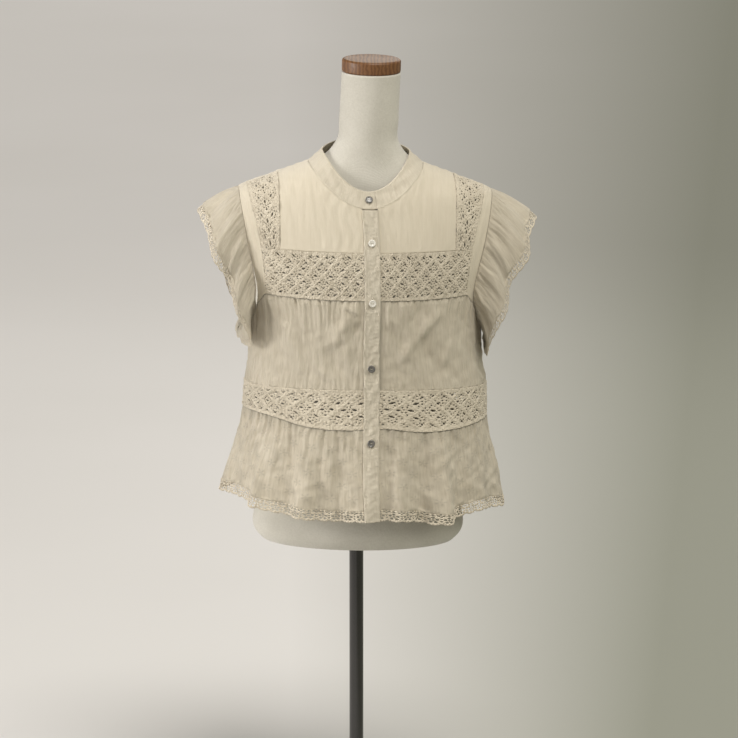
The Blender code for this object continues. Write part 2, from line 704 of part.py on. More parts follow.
# The sleeves: a wide ruffle sewn round the armhole, and the lace along its edge
def build_sleeves():
    for side, sign, stations in (("right", -1, SLEEVE_RIGHT), ("left", 1, SLEEVE_LEFT)):
        def sleeve(u, s, sign=sign, stations=stations):
            turn = 0.0012 + u * (1 - 0.0024)
            height = UNDERARM + (SHOULDER_END - UNDERARM) * (1 - np.cos(2 * math.pi * turn)) / 2
            angle = np.arcsin(np.clip(armhole(height) / half_width(height), 0.0, 1.0))
            seam = skin(np.where(turn < 0.5, angle, math.pi - angle), height)
            out = smooth(turn, stations, 1)
            forward = smooth(turn, stations, 2)
            drop = smooth(turn, stations, 3)
            reach = np.stack([out, -forward, -drop], axis=-1)
            length = np.linalg.norm(reach, axis=-1)
            away = reach / length[:, None]
            wave = 0.0
            for centre, rise, width in RUFFLES:
                wave = wave + rise * np.exp(-(((turn - centre) / width) ** 2))
            facing = np.where(turn < 0.5, -1.0, 1.0) * np.abs(np.sin(2 * math.pi * turn))
            push = np.stack([0.55 + 0 * turn, 0.8 * facing, 0.35 + 0 * turn], axis=-1)
            arch = SLEEVE_ARCH * np.sin(math.pi * np.clip(s, 0, 1))
            over_body = OVER_BODY * rise_in((ARMHOLE[5][0] - height) / 60.0)
            point = seam + SLEEVE_START * away + reach * s[:, None]
            point = point + push * (over_body + arch + wave * rise_in(s))[:, None]
            point[:, 0] *= sign
            return point

        def cloth(u, v, sleeve=sleeve):
            return sleeve(u, v * SLEEVE_CLOTH)

        def lace(u, v, sleeve=sleeve):
            start = SLEEVE_CLOTH + 0.012
            return sleeve(u, start + (1 - start) * v)

        bent_slab(f"sleeve_{side}", 39, 4, cloth, cotton, flip=sign > 0)
        bent_slab(f"sleeve_lace_{side}", 39, 1, lace, crochet, flip=sign > 0)


build_stand()
build_form()
build_yoke()
build_body()
build_front_closing()
build_sleeves()
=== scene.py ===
"""A cream gauze blouse with crochet bands, buttoned on a limbless dress form: the looks of its pieces.

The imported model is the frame. Tables are in millimetres. The blouse and the form are drawn upright, with
heights counted from the form's flat underside, and are then leaned and turned as they stand on the pole.
Left and right are the wearer's, so the left side lies at +X and the front faces -Y.
"""

import math

import bpy
import numpy as np
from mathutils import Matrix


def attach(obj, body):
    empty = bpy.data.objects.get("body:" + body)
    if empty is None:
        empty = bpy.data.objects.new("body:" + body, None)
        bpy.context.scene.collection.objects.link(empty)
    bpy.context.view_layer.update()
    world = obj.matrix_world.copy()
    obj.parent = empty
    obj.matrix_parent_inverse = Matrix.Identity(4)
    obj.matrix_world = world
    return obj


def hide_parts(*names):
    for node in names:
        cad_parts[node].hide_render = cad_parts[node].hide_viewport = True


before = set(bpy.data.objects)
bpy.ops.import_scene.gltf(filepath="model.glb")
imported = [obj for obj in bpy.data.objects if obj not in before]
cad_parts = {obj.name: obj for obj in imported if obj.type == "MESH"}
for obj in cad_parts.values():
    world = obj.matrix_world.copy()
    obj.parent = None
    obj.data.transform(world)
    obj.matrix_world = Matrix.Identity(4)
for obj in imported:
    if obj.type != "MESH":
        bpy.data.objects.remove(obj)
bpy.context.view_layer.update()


# The camera stands 7.5 m in front of the form with a long lens, a little above it.
VIEW_DISTANCE = 7.5
VIEW_DOWN = math.radians(13.0)
VIEW_TARGET = (0.0198, 0.0, 0.7265)
camera_data = bpy.data.cameras.new("studio_camera")
camera_data.sensor_width = 36.0
camera_data.lens = 236.9
camera_data.clip_end = 60.0
camera = bpy.data.objects.new("studio_camera", camera_data)
camera.location = (
    VIEW_TARGET[0],
    VIEW_TARGET[1] - VIEW_DISTANCE * math.cos(VIEW_DOWN),
    VIEW_TARGET[2] + VIEW_DISTANCE * math.sin(VIEW_DOWN),
)
camera.rotation_euler = (math.pi / 2 - VIEW_DOWN, 0.0, 0.0)
bpy.context.scene.collection.objects.link(camera)
bpy.context.scene.camera = camera


# Soft studio light: a broad warm light from high above, a narrow panel from the left, two weak ones in the
# room and behind, and a pale world.
def aimed(way):
    """The turn that points a lamp's -Z axis along this way."""
    return math.atan2(math.hypot(way[0], way[1]), -way[2]), 0.0, math.atan2(-way[0], way[1])


def soft_light(name, place, aim, power, colour, size=None, angle=None, spread=180.0):
    data = bpy.data.lights.new(name, "AREA" if size else "SUN")
    if size:
        data.shape = "SQUARE"
        data.size = size
        data.spread = math.radians(spread)
    else:
        data.angle = angle
    data.energy = power
    data.color = colour
    lamp = bpy.data.objects.new(name, data)
    lamp.location = place
    lamp.rotation_euler = aimed([a - p for a, p in zip(aim, place)])
    bpy.context.scene.collection.objects.link(lamp)


soft_light("high_light", (0.9, -1.9, 4.7), (0.0, 0.0, 0.8), 2.1, (1.0, 0.965, 0.92), angle=math.radians(26.0))
soft_light("left_light", (-4.2, -1.1, 1.5), (0.0, 0.0, 0.8), 16.0, (1.0, 0.98, 0.95), size=1.6, spread=60.0)
soft_light("room_light", (2.6, -1.3, 2.8), (0.0, 0.0, 0.9), 18.0, (1.0, 1.0, 0.80), size=2.0)
soft_light("back_light", (0.6, 3.0, 2.6), (0.0, 0.0, 0.8), 22.0, (1.0, 0.98, 0.95), size=2.2)

world = bpy.data.worlds.new("pale_room")
world.use_nodes = True
world.node_tree.nodes["Background"].inputs["Color"].default_value = (0.66, 0.635, 0.58, 1.0)
world.node_tree.nodes["Background"].inputs["Strength"].default_value = 0.30
bpy.context.scene.world = world
bpy.context.scene.view_settings.view_transform = "Standard"


# The floor is a plain pale disc, wide enough to lie behind the form in every view. Its colour is painted
# darker towards its right side, as painted shade where less light would reach. It isn't part of the object.
FLOOR_RADIUS = 16.0
SHADE_PAINT_FROM = -0.02
SHADE_PAINT_TO = 0.09
SHADE_PAINT_DEPTH = 5.0


def put(tree, kind, values=(), **settings):
    """Adds a shader node: values are pairs of a socket and a number, a colour or another node's output."""
    made = tree.nodes.new(kind)
    for name, value in settings.items():
        setattr(made, name, value)
    for socket, value in values:
        if isinstance(value, bpy.types.NodeSocket):
            tree.links.new(value, made.inputs[socket])
        else:
            made.inputs[socket].default_value = value
    return made


def new_finish(name, colour, roughness, metallic=0.0, **extra):
    """A material whose one Principled shader has these uniform values."""
    material = bpy.data.materials.new(name)
    material.use_nodes = True
    shader = material.node_tree.nodes["Principled BSDF"]
    shader.inputs["Base Color"].default_value = (*colour, 1.0)
    shader.inputs["Roughness"].default_value = roughness
    shader.inputs["Metallic"].default_value = metallic
    for socket, value in extra.items():
        shader.inputs[socket.replace("_", " ").title()].default_value = value
    material.diffuse_color = (*colour, 1.0)
    return material, material.node_tree, shader


def maths(tree, operation, first, second=0.0):
    """One maths node's output."""
    return put(tree, "ShaderNodeMath", [(0, first), (1, second)], operation=operation).outputs[0]


def object_place(tree):
    return put(tree, "ShaderNodeTexCoord").outputs["Object"]


def noise(tree, place, scale, **extra):
    """A noise texture's output at a place, by its scale per metre."""
    values = [("Vector", place), ("Scale", scale), *((name.title(), value) for name, value in extra.items())]
    return put(tree, "ShaderNodeTexNoise", values).outputs["Fac"]


def spread(tree, value, **ends):
    """A value mapped linearly between the ends that are given: from_min, from_max, to_min and to_max."""
    values = [("Value", value), *((name.replace("_", " ").title(), end) for name, end in ends.items())]
    return put(tree, "ShaderNodeMapRange", values).outputs["Result"]


def blend(tree, factor, first, second):
    """A mix of two tones, each a colour or another node's output."""
    tones = [value if isinstance(value, bpy.types.NodeSocket) else (*value, 1.0) for value in (first, second)]
    values = [("Factor", factor), ("A", tones[0]), ("B", tones[1])]
    return put(tree, "ShaderNodeMix", values, data_type="RGBA").outputs["Result"]


floor_finish, tree, shader = new_finish("pale_floor", (0.60, 0.575, 0.53), 0.9)
place = object_place(tree)
tone = blend(tree, noise(tree, place, 0.8, detail=3.0), (0.68, 0.665, 0.64), (0.75, 0.735, 0.72))
axes = put(tree, "ShaderNodeSeparateXYZ", [("Vector", place)])
depth = maths(tree, "ADD", maths(tree, "ABSOLUTE", axes.outputs["Y"]), SHADE_PAINT_DEPTH)
slant = maths(tree, "DIVIDE", axes.outputs["X"], depth)
aside = spread(tree, slant, from_min=SHADE_PAINT_FROM, from_max=SHADE_PAINT_TO)
# Painted shade: towards the floor's right side its colour goes over to this deep tone.
tree.links.new(blend(tree, aside, tone, (0.285, 0.29, 0.24)), shader.inputs["Base Color"])

turns = np.linspace(0.0, 2.0 * math.pi, 64, endpoint=False)
rim = np.stack([FLOOR_RADIUS * np.cos(turns), FLOOR_RADIUS * np.sin(turns), 0.0 * turns], axis=-1)
floor_mesh = bpy.data.meshes.new("floor")
floor_mesh.from_pydata(rim.tolist(), [], [list(range(len(turns)))])
floor_mesh.materials.append(floor_finish)
floor = bpy.data.objects.new("floor", floor_mesh)
bpy.context.scene.collection.objects.link(floor)


# The stand below the form: a round steel base, a socket and the tube that carries the form, all painted dark.
# Each is a profile turned on a lathe, with its edges rounded.
MM = 0.001
WELD = 2e-6
BASE_RADIUS = 140.0
BASE_THICK = 12.0
POLE_RADIUS = 11.0
POLE_FOOT = 12.3
SOCKET_BORE = POLE_RADIUS + 0.3
SOCKET_RADIUS = 19.0
SOCKET_TOP = 57.3
POLE_TOP = 459.4


def dress(tree, shader, colour, height, strength, distance):
    """Joins a tone and a bump of this strength and distance in metres to the shader."""
    tree.links.new(colour, shader.inputs["Base Color"])
    bump = put(tree, "ShaderNodeBump", [("Height", height), ("Strength", strength), ("Distance", distance)])
    tree.links.new(bump.outputs["Normal"], shader.inputs["Normal"])


def add_piece(name, points, faces, finish, node=None, corners=None, shades=None):
    """A mesh object from points in metres and quads, riding on the root and standing for a CAD node.

    Equal points become one and a quad that collapses at a pole becomes a triangle. Corners are the
    surface's own coordinates in metres, kept as a UV map, and shades are kept as an attribute.
    """
    points = np.asarray(points, float).reshape(-1, 3)
    faces = np.asarray(faces)
    if corners is None:
        cells = np.round(points / WELD).astype(np.int64)
        first, same = np.unique(cells, axis=0, return_index=True, return_inverse=True)[1:]
        faces = same.ravel()[faces]
        points = points[first]
    repeats = [faces[:, k] == faces[:, (k + 1) % 4] for k in range(4)]
    whole = ~np.any(repeats, axis=0)
    lists = faces[whole].tolist()
    for k in range(4):
        others = [j for j in range(4) if j != k]
        lists += faces[repeats[k] & ~repeats[(k + 2) % 4]][:, others].tolist()
    mesh = bpy.data.meshes.new(name)
    mesh.from_pydata(points.tolist(), [], lists)
    if corners is not None:
        order = np.zeros(len(mesh.loops), np.int32)
        mesh.loops.foreach_get("vertex_index", order)
        mesh.uv_layers.new(name="cut").data.foreach_set("uv", corners[order].astype(np.float32).ravel())
    if shades is not None:
        mesh.attributes.new("shade", "FLOAT", "POINT").data.foreach_set("value", shades.astype(np.float32))
    mesh.shade_smooth()
    mesh.materials.append(finish)
    piece = bpy.data.objects.new(name, mesh)
    bpy.context.scene.collection.objects.link(piece)
    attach(piece, "root")
    if node:
        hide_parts(node)
    return piece


def grid_faces(rows, columns, around=False):
    """Quads of a grid of points with this many rows and columns, joined into a ring if it goes around."""
    row = np.arange(rows - 1)[:, None] * columns
    column = np.arange(columns if around else columns - 1)[None, :]
    after = (column + 1) % columns
    corners = [row + column, row + after, row + columns + after, row + columns + column]
    return np.stack(corners, axis=-1).reshape(-1, 4)


def turned(profile, sides=96):
    """Points and quads of a profile of radius and height, from bottom up its outer side, turned round Z."""
    radius, height = np.array(profile, float).T
    turn = np.linspace(0.0, 2.0 * math.pi, sides, endpoint=False)
    points = np.stack([
        radius[:, None] * np.cos(turn), radius[:, None] * np.sin(turn), height[:, None] + 0 * turn,
    ], axis=-1)
    return points.reshape(-1, 3), grid_faces(len(radius), sides, around=True)


def rounded(corners, radius, steps=5):
    """A profile whose inner corners are replaced by short arcs: points between the corner's two cuts."""
    made = [corners[0]]
    for before, corner, after in zip(corners, corners[1:], corners[2:]):
        before, corner, after = np.array(before), np.array(corner), np.array(after)
        back, on = before - corner, after - corner
        cut = min(radius, 0.45 * np.linalg.norm(back), 0.45 * np.linalg.norm(on))
        start = corner + cut * back / np.linalg.norm(back)
        end = corner + cut * on / np.linalg.norm(on)
        for t in np.linspace(0.0, 1.0, steps):
            made.append(tuple((1 - t) ** 2 * start + 2 * t * (1 - t) * corner + t * t * end))
    made.append(corners[-1])
    return made


dark_metal, tree, shader = new_finish("dark_metal", (0.020, 0.018, 0.016), 0.2, 0.0, coat_weight=0.6)
place = object_place(tree)
rub = noise(tree, place, 60.0, detail=4.0)
tree.links.new(spread(tree, rub, to_min=0.12, to_max=0.24), shader.inputs["Roughness"])
dust = blend(tree, rub, (0.012, 0.011, 0.010), (0.026, 0.023, 0.021))
dress(tree, shader, dust, noise(tree, place, 900.0, detail=2.0), 0.12, 0.0002)

lathe_work = (
    ("stand_base", "base", (
        (0.0, 0.0), (BASE_RADIUS - 1.0, 0.0), (BASE_RADIUS, 1.0), (BASE_RADIUS, BASE_THICK - 1.0),
        (BASE_RADIUS - 3.0, BASE_THICK), (0.0, BASE_THICK),
    ), 2.0),
    ("stand_socket", "base_socket", (
        (SOCKET_BORE, POLE_FOOT), (SOCKET_RADIUS + 11.0, POLE_FOOT), (SOCKET_RADIUS + 9.0, 17.3),
        (SOCKET_RADIUS, 24.0), (SOCKET_RADIUS, SOCKET_TOP), (SOCKET_BORE, SOCKET_TOP),
        (SOCKET_BORE, POLE_FOOT),
    ), 3.0),
    ("stand_pole", "pole", (
        (0.0, POLE_FOOT), (POLE_RADIUS, POLE_FOOT), (POLE_RADIUS, POLE_TOP), (0.0, POLE_TOP),
    ), 0.5),
)
for name, node, corners, radius in lathe_work:
    points, faces = turned(rounded(corners, radius))
    add_piece(name, points * MM, faces, dark_metal, node)


# The form: a hollow body pulled smooth with an off-white knit cover, here one closed skin through its
# sections of height, half width, front, back and aside, with the cover's flat hem on the underside.
THREAD_RELIEF = 0.0012
# The share of the dark tone that painted shade goes down to.
SHADE_PAINT_TONE = 0.42
LEAN = math.radians(1.4)
TURN = math.radians(4.5)
FORM_UNDERSIDE = 460.0
FORM_SECTIONS = (
    (0, 149, 88, 84, 2), (7, 156, 94, 90, 2), (60, 159, 97, 93, 2), (130, 154, 94, 88, 2),
    (210, 139, 86, 78, 2), (280, 145, 92, 82, 2), (345, 160, 104, 90, 1), (400, 168, 107, 96, 0),
    (450, 175, 98, 98, 0), (495, 180, 84, 90, 0), (528, 183, 71, 78, 0), (545, 181, 64, 71, 0),
    (554, 175.5, 60, 67, 0), (564.8, 156, 57, 64, 0), (577.8, 121, 53, 60, 0.3), (589.4, 87, 50, 57, 0.8),
    (600, 68, 48, 53, 1.4), (622, 49, 46, 48, 2.3), (660, 45.5, 45, 45.5, 3.5), (700, 45, 45, 45, 4.6),
    (731.5, 45, 45, 45, 5.4),
)


def smooth(x, table, index):
    """A smooth curve through one column of a table: cubic pieces with the neighbouring rows' slopes."""
    places = np.array([row[0] for row in table])
    values = np.array([row[index] for row in table])
    slopes = np.gradient(values, places)
    x = np.clip(x, places[0], places[-1])
    k = np.clip(np.searchsorted(places, x) - 1, 0, len(places) - 2)
    step = places[k + 1] - places[k]
    t = (x - places[k]) / step
    start = values[k] * (1 + 2 * t) * (1 - t) ** 2 + slopes[k] * step * t * (1 - t) ** 2
    end = values[k + 1] * t * t * (3 - 2 * t) + slopes[k + 1] * step * t * t * (t - 1)
    return start + end


def rise_in(x):
    """A ramp from 0 to 1 that is level at both ends."""
    x = np.clip(x, 0.0, 1.0)
    return x * x * (3 - 2 * x)


def stand_up(points):
    """Points of the upright blouse in millimetres, leaned, turned and set on the pole, in metres."""
    lean = np.array([
        [math.cos(LEAN), 0.0, math.sin(LEAN)], [0.0, 1.0, 0.0], [-math.sin(LEAN), 0.0, math.cos(LEAN)],
    ])
    turn = np.array([
        [math.cos(TURN), -math.sin(TURN), 0.0], [math.sin(TURN), math.cos(TURN), 0.0], [0.0, 0.0, 1.0],
    ])
    return (points @ (turn @ lean).T + (0.0, 0.0, FORM_UNDERSIDE)) * MM


def stitch_tree(name, inputs, outputs):
    """A shader node group with these named inputs and outputs, and its two end nodes."""
    tree = bpy.data.node_groups.new(name, "ShaderNodeTree")
    for socket, kind in inputs:
        tree.interface.new_socket(name=socket, in_out="INPUT", socket_type=kind)
    for socket, kind in outputs:
        tree.interface.new_socket(name=socket, in_out="OUTPUT", socket_type=kind)
    return tree, tree.nodes.new("NodeGroupInput"), tree.nodes.new("NodeGroupOutput")


# Woven or knitted threads: two families of ridges a pitch apart, with soft slubs that run along them.
weave, ends, out = stitch_tree(
    "thread_weave",
    (("Place", "NodeSocketVector"), ("Pitch", "NodeSocketFloat"), ("Streak", "NodeSocketFloat")),
    (("Height", "NodeSocketFloat"), ("Tint", "NodeSocketFloat")),
)
axes = put(weave, "ShaderNodeSeparateXYZ", [("Vector", ends.outputs["Place"])])
per_thread = maths(weave, "DIVIDE", 2.0 * math.pi, ends.outputs["Pitch"])
warp = maths(weave, "SINE", maths(weave, "MULTIPLY", axes.outputs["X"], per_thread))
weft = maths(weave, "SINE", maths(weave, "MULTIPLY", axes.outputs["Y"], per_thread))
ridges = maths(weave, "MULTIPLY", maths(weave, "ADD", warp, weft), 0.12)
along = put(weave, "ShaderNodeMapping", [("Vector", ends.outputs["Place"]), ("Scale", (1.0, 0.09, 1.0))])
slubs = noise(weave, along.outputs["Vector"], 420.0, detail=3.0, roughness=0.6)
streaks = maths(weave, "MULTIPLY", slubs, ends.outputs["Streak"])
weave.links.new(maths(weave, "ADD", ridges, streaks), out.inputs["Height"])
patches = noise(weave, ends.outputs["Place"], 22.0, detail=4.0)
tints = maths(weave, "ADD", maths(weave, "MULTIPLY", slubs, 0.55), maths(weave, "MULTIPLY", patches, 0.45))
weave.links.new(tints, out.inputs["Tint"])


def cloth_finish(name, light, dark, pitch, streak, strength, in_space=False):
    """A cotton material: the weave group drives its tint and bump, and painted shade takes a deep tone."""
    material, tree, shader = new_finish(name, light, 0.9, sheen_weight=0.25, sheen_roughness=0.6)
    place = object_place(tree) if in_space else put(tree, "ShaderNodeUVMap", uv_map="cut").outputs["UV"]
    threads = put(tree, "ShaderNodeGroup", node_tree=weave)
    tree.links.new(place, threads.inputs["Place"])
    threads.inputs["Pitch"].default_value = pitch
    threads.inputs["Streak"].default_value = streak
    tone = blend(tree, spread(tree, threads.outputs["Tint"], from_min=0.36, from_max=0.62), dark, light)
    shade = put(tree, "ShaderNodeAttribute", attribute_name="shade").outputs["Fac"]
    # Painted shade: where the shade attribute is high, the colour goes over to a deep copy of the dark tone.
    painted_shade_mix = blend(tree, shade, tone, [SHADE_PAINT_TONE * value for value in dark])
    dress(tree, shader, painted_shade_mix, threads.outputs["Height"], strength, THREAD_RELIEF)
    return material


form_cover = cloth_finish(
    "form_cover", (0.68, 0.65, 0.575), (0.60, 0.57, 0.495), 0.0011, 0.12, 0.35, in_space=True
)
heights = np.concatenate([np.linspace(0.0, 12.0, 9), np.linspace(15.0, FORM_SECTIONS[-1][0], 220)])
turn = np.linspace(0.0, 2.0 * math.pi, 180, endpoint=False)
rows, columns = np.meshgrid(heights, turn, indexing="ij")
depth = np.where(np.cos(columns) > 0, smooth(rows, FORM_SECTIONS, 2), smooth(rows, FORM_SECTIONS, 3))
body = np.stack([
    smooth(rows, FORM_SECTIONS, 4) + smooth(rows, FORM_SECTIONS, 1) * np.sin(columns),
    -depth * np.cos(columns), rows,
], axis=-1)
shrink = np.array([0.0, 0.35, 0.7, 0.9, 0.97])[:, None, None]
under = body[0] * shrink + (1.0 - shrink) * np.array([FORM_SECTIONS[0][4], 0.0, 0.0])
centre = np.array([FORM_SECTIONS[-1][4], 0.0, FORM_SECTIONS[-1][0]])
above = body[-1] * shrink[::-1] + (1.0 - shrink[::-1]) * centre
body = np.concatenate([under, body, above])
add_piece(
    "form_body", stand_up(body.reshape(-1, 3)), grid_faces(len(body), len(turn), around=True),
    form_cover, "dress_form",
)


# The cap on the neck: a turned beech disc, stained brown and ringed by its grain. Its flat top is painted
# a little paler than its side, as painted light from above.
CAP_RADIUS = 45.0
CAP_LOW = 731.8
CAP_HIGH = 751.8
CAP_ASIDE = 5.4
cap_wood, tree, shader = new_finish("cap_wood", (0.20, 0.09, 0.035), 0.5, coat_weight=0.08)
along = put(tree, "ShaderNodeMapping", [("Vector", object_place(tree)), ("Scale", (1.0, 0.22, 1.0))])
rings = put(tree, "ShaderNodeTexWave", [
    ("Vector", along.outputs["Vector"]), ("Scale", 55.0), ("Distortion", 5.0), ("Detail", 3.0),
    ("Detail Scale", 2.0),
], bands_direction="X").outputs["Fac"]
pores = noise(tree, along.outputs["Vector"], 700.0)
grain = maths(tree, "ADD", maths(tree, "MULTIPLY", rings, 0.6), maths(tree, "MULTIPLY", pores, 0.4))
normal = put(tree, "ShaderNodeNewGeometry").outputs["Normal"]
facing = put(tree, "ShaderNodeSeparateXYZ", [("Vector", normal)])
# Painted light: faces that point up take a paler copy of the stained wood, as if lit from above.
painted_top_light = spread(tree, facing.outputs["Z"], from_min=0.75, from_max=0.98)
stain = blend(tree, grain, (0.11, 0.040, 0.012), (0.25, 0.118, 0.044))
pale = blend(tree, grain, (0.10, 0.044, 0.014), (0.28, 0.145, 0.055))
dress(tree, shader, blend(tree, painted_top_light, stain, pale), grain, 0.3, 0.0003)
points, faces = turned(rounded((
    (0.0, CAP_LOW), (CAP_RADIUS - 1.0, CAP_LOW), (CAP_RADIUS, CAP_LOW + 2.0), (CAP_RADIUS, CAP_HIGH - 2.5),
    (CAP_RADIUS - 2.5, CAP_HIGH), (0.0, CAP_HIGH),
), 2.5))
add_piece("wood_cap", stand_up(points + (CAP_ASIDE, 0.0, 0.0)), faces, cap_wood, "neck_cap")


# The yoke: plain crinkled gauze fronts and back, cut to the neckline and joined on the shoulder. The skin
# that every piece of the blouse lies on is drawn here: half ellipses in front and behind through its sections
# of height, half width, front, back and aside, with the peplum's folds standing out of it.
CLOTH = 0.9
SEAM_TAKEN = 0.2
SIDES = (("right", -1), ("left", 1))
NORMAL_STEP = 0.003
RIM_STEP = 0.05
SKIN_SECTIONS = (
    (40, 210, 129, 124, 5), (90, 205, 126, 120, 6), (150, 196, 120, 112, 7), (200, 189, 115, 105, 8),
    (256, 186, 113, 103, 8), (285, 181, 113, 102, 7), (335, 178, 116, 103, 4), (376, 178, 119, 106, 2),
    (401, 184, 119, 108, 1), (440, 198, 116, 110, 0), (481, 209, 108, 109, 0), (520, 210, 97, 102, 0),
    (544, 201, 88, 93, 0), (552, 194, 84, 89, 0), (567, 156, 76, 82, 0), (580, 121, 70, 77, 0),
    (592, 88, 64, 73, 0), (604, 78, 58, 70, 0),
)
PEPLUM_FOLDS = (
    (-170, 10, 9, 8), (-147, 12, 8, 9), (-122, 9, 8, 7), (-88, 15, 13, 9), (-52, 17, 5, 8), (-28, 15, 7, 6),
    (0, 9, 7, 5), (14, 12, 4.5, 4.5), (35, 19, 7, 4.5), (61, 8, 5, 7), (82, 15, 8, 10), (108, 10, 7, 8),
    (131, 13, 8, 8), (152, 9, 7, 8), (172, 8, 7, 6),
)
FOLD_START = 205.0
FOLD_REACH = 150.0
NECK_FRONT = 535.0
NECK_SIDE = 592.0
NECK_BACK = 600.0
NECK_HALF_WIDTH = 88.0
CHEST_TOP = 471.0
BUST_SEAM = (
    (0, 399), (100, 399), (151, 399), (153, 399), (160, 390), (167, 376),
)
SHOULDER_BAND = (
    (376, 134, 151), (399, 134, 153), (471, 134, 161), (557, 135, 181),
)
ARMHOLE = (
    (335, 178), (343, 175.9), (355, 172.1), (376, 167), (401, 165.5), (430, 170.5), (458, 177), (481, 182),
    (520, 189), (544, 193), (552, 194),
)
SETTLE_FROM = 259.0
UNDERARM = 335.0
SHOULDER_END = 552.0
PLACKET_HALF = 12.0
STAND_GAP = 0.15
PLACKET_LINE = (
    (40, 9), (110, 4), (177, 2), (300, 1), (396, 5), (486, 4), (548, 0.5), (604, 0),
)


def curve(table, index):
    """A function of height: the smooth curve through one column of a table."""
    return lambda height: smooth(height, table, index)


half_width = curve(SKIN_SECTIONS, 1)
armhole = curve(ARMHOLE, 1)
band_inner = curve(SHOULDER_BAND, 1)
band_outer = curve(SHOULDER_BAND, 2)
placket_line = curve(PLACKET_LINE, 1)


def within(share, margin):
    """Ramps up over a margin at each end of the shares from 0 to 1."""
    return rise_in(share / margin) * rise_in((1 - share) / margin)


def bell(x, width):
    """A bell-shaped ridge, 1 high in the middle and about a third of that this far from it."""
    return np.exp(-((x / width) ** 2))


def skin(angle, height, lift=0.0):
    """The blouse's outer skin at an angle round the body and a height, lifted outwards.

    Across it is aside + (half width + out) sin(angle) and forwards (depth + out) cos(angle), where out is
    the lift and the peplum's folds: bell-shaped ridges that grow from the waist seam to the hem.
    """
    angle = np.asarray(angle, float)
    height = np.asarray(height, float)
    depth = np.where(np.cos(angle) > 0, smooth(height, SKIN_SECTIONS, 2), smooth(height, SKIN_SECTIONS, 3))
    folds = 0.0
    for centre, rise, before, after in PEPLUM_FOLDS:
        off = (np.degrees(angle) - centre + 180.0) % 360.0 - 180.0
        folds = folds + rise * bell(off, np.where(off < 0, before, after))
    out = folds * rise_in((FOLD_START - height) / FOLD_REACH) + lift
    x = smooth(height, SKIN_SECTIONS, 4) + (half_width(height) + out) * np.sin(angle)
    return np.stack([x, -(depth + out) * np.cos(angle), height + 0 * x], axis=-1)


def angle_of(across, height):
    """The angle of the skin's point that lies this far across at this height, on the front."""
    return np.arcsin(np.clip(across / half_width(height), -1.0, 1.0))


def ridge(across):
    """The height of the shoulder, where the front and the back of the skin meet."""
    levels = np.linspace(604.0, 548.0, 6000)
    return np.interp(np.abs(across), half_width(levels), levels)


def neck_or_ridge(across, centre):
    """The upper edge of the front or back: a parabola at the neck and the shoulder seam outside it."""
    across = np.abs(across)
    neckline = centre + (NECK_SIDE - centre) * (across / NECK_HALF_WIDTH) ** 2
    return np.where(across < NECK_HALF_WIDTH, neckline, ridge(across))


def front_top(across):
    return neck_or_ridge(across, NECK_FRONT)


def back_top(across):
    return neck_or_ridge(across, NECK_BACK)


def bust_seam(across):
    return smooth(np.abs(across), BUST_SEAM, 1)


def back_seam(across):
    return BUST_SEAM[0][1] + 0 * across


def chest_top(across):
    return CHEST_TOP + 0 * across


def settle(u, v, first, last, bottom, top):
    """The place u of the way from the first side to the last and v of the way up between two seams.

    Each side gives a place across for a height and each seam a height for a place across, so the pair is
    found by going back and forth between them until it stays.
    """
    height = bottom(0.5 * (first(SETTLE_FROM) + last(SETTLE_FROM))) + 0 * u
    for _ in range(14):
        across = (1 - u) * first(height) + u * last(height)
        height = bottom(across) + (top(across) - bottom(across)) * v
    return across, height


def outward(place, u, v):
    """Unit normals of place(u, v), from the cross product of its two slopes."""
    after, before = np.minimum(u + NORMAL_STEP, 1.0), np.maximum(u - NORMAL_STEP, 0.0)
    above, below = np.minimum(v + NORMAL_STEP, 1.0), np.maximum(v - NORMAL_STEP, 0.0)
    normal = np.cross(place(after, v) - place(before, v), place(u, above) - place(u, below))
    return normal / np.maximum(np.linalg.norm(normal, axis=-1), 1e-9)[..., None]


def ripples(x, y, pitch, length, seed):
    """Uneven long ripples of height about -1 to 1: eight sines across, each bent slowly along the cloth."""
    draw = np.random.default_rng(seed)
    total = 0.0
    for _ in range(8):
        wide = pitch * draw.uniform(0.6, 1.9)
        start, bend, swing = draw.uniform(0.0, 2.0 * math.pi, 3)
        drift = 1.6 * np.sin(2.0 * math.pi * y / (length * (0.6 + 0.1 * swing)) + bend)
        total = total + np.sin(2.0 * math.pi * x / wide + start + drift) / 8.0
    return 1.9 * total


def pleats(x, y, pitch, length, seed):
    """Gathers of height about -1 to 1 with round crests and sharp valleys, wandering along the cloth."""
    bend = ripples(x, y, 9.0 * pitch, length, seed)
    fine = np.abs(np.sin(math.pi * x / pitch + 1.4 * bend))
    wide = np.abs(np.sin(math.pi * x / (1.73 * pitch) + 1.1 * bend + seed))
    return 1.2 * fine + 1.0 * wide - 1.4


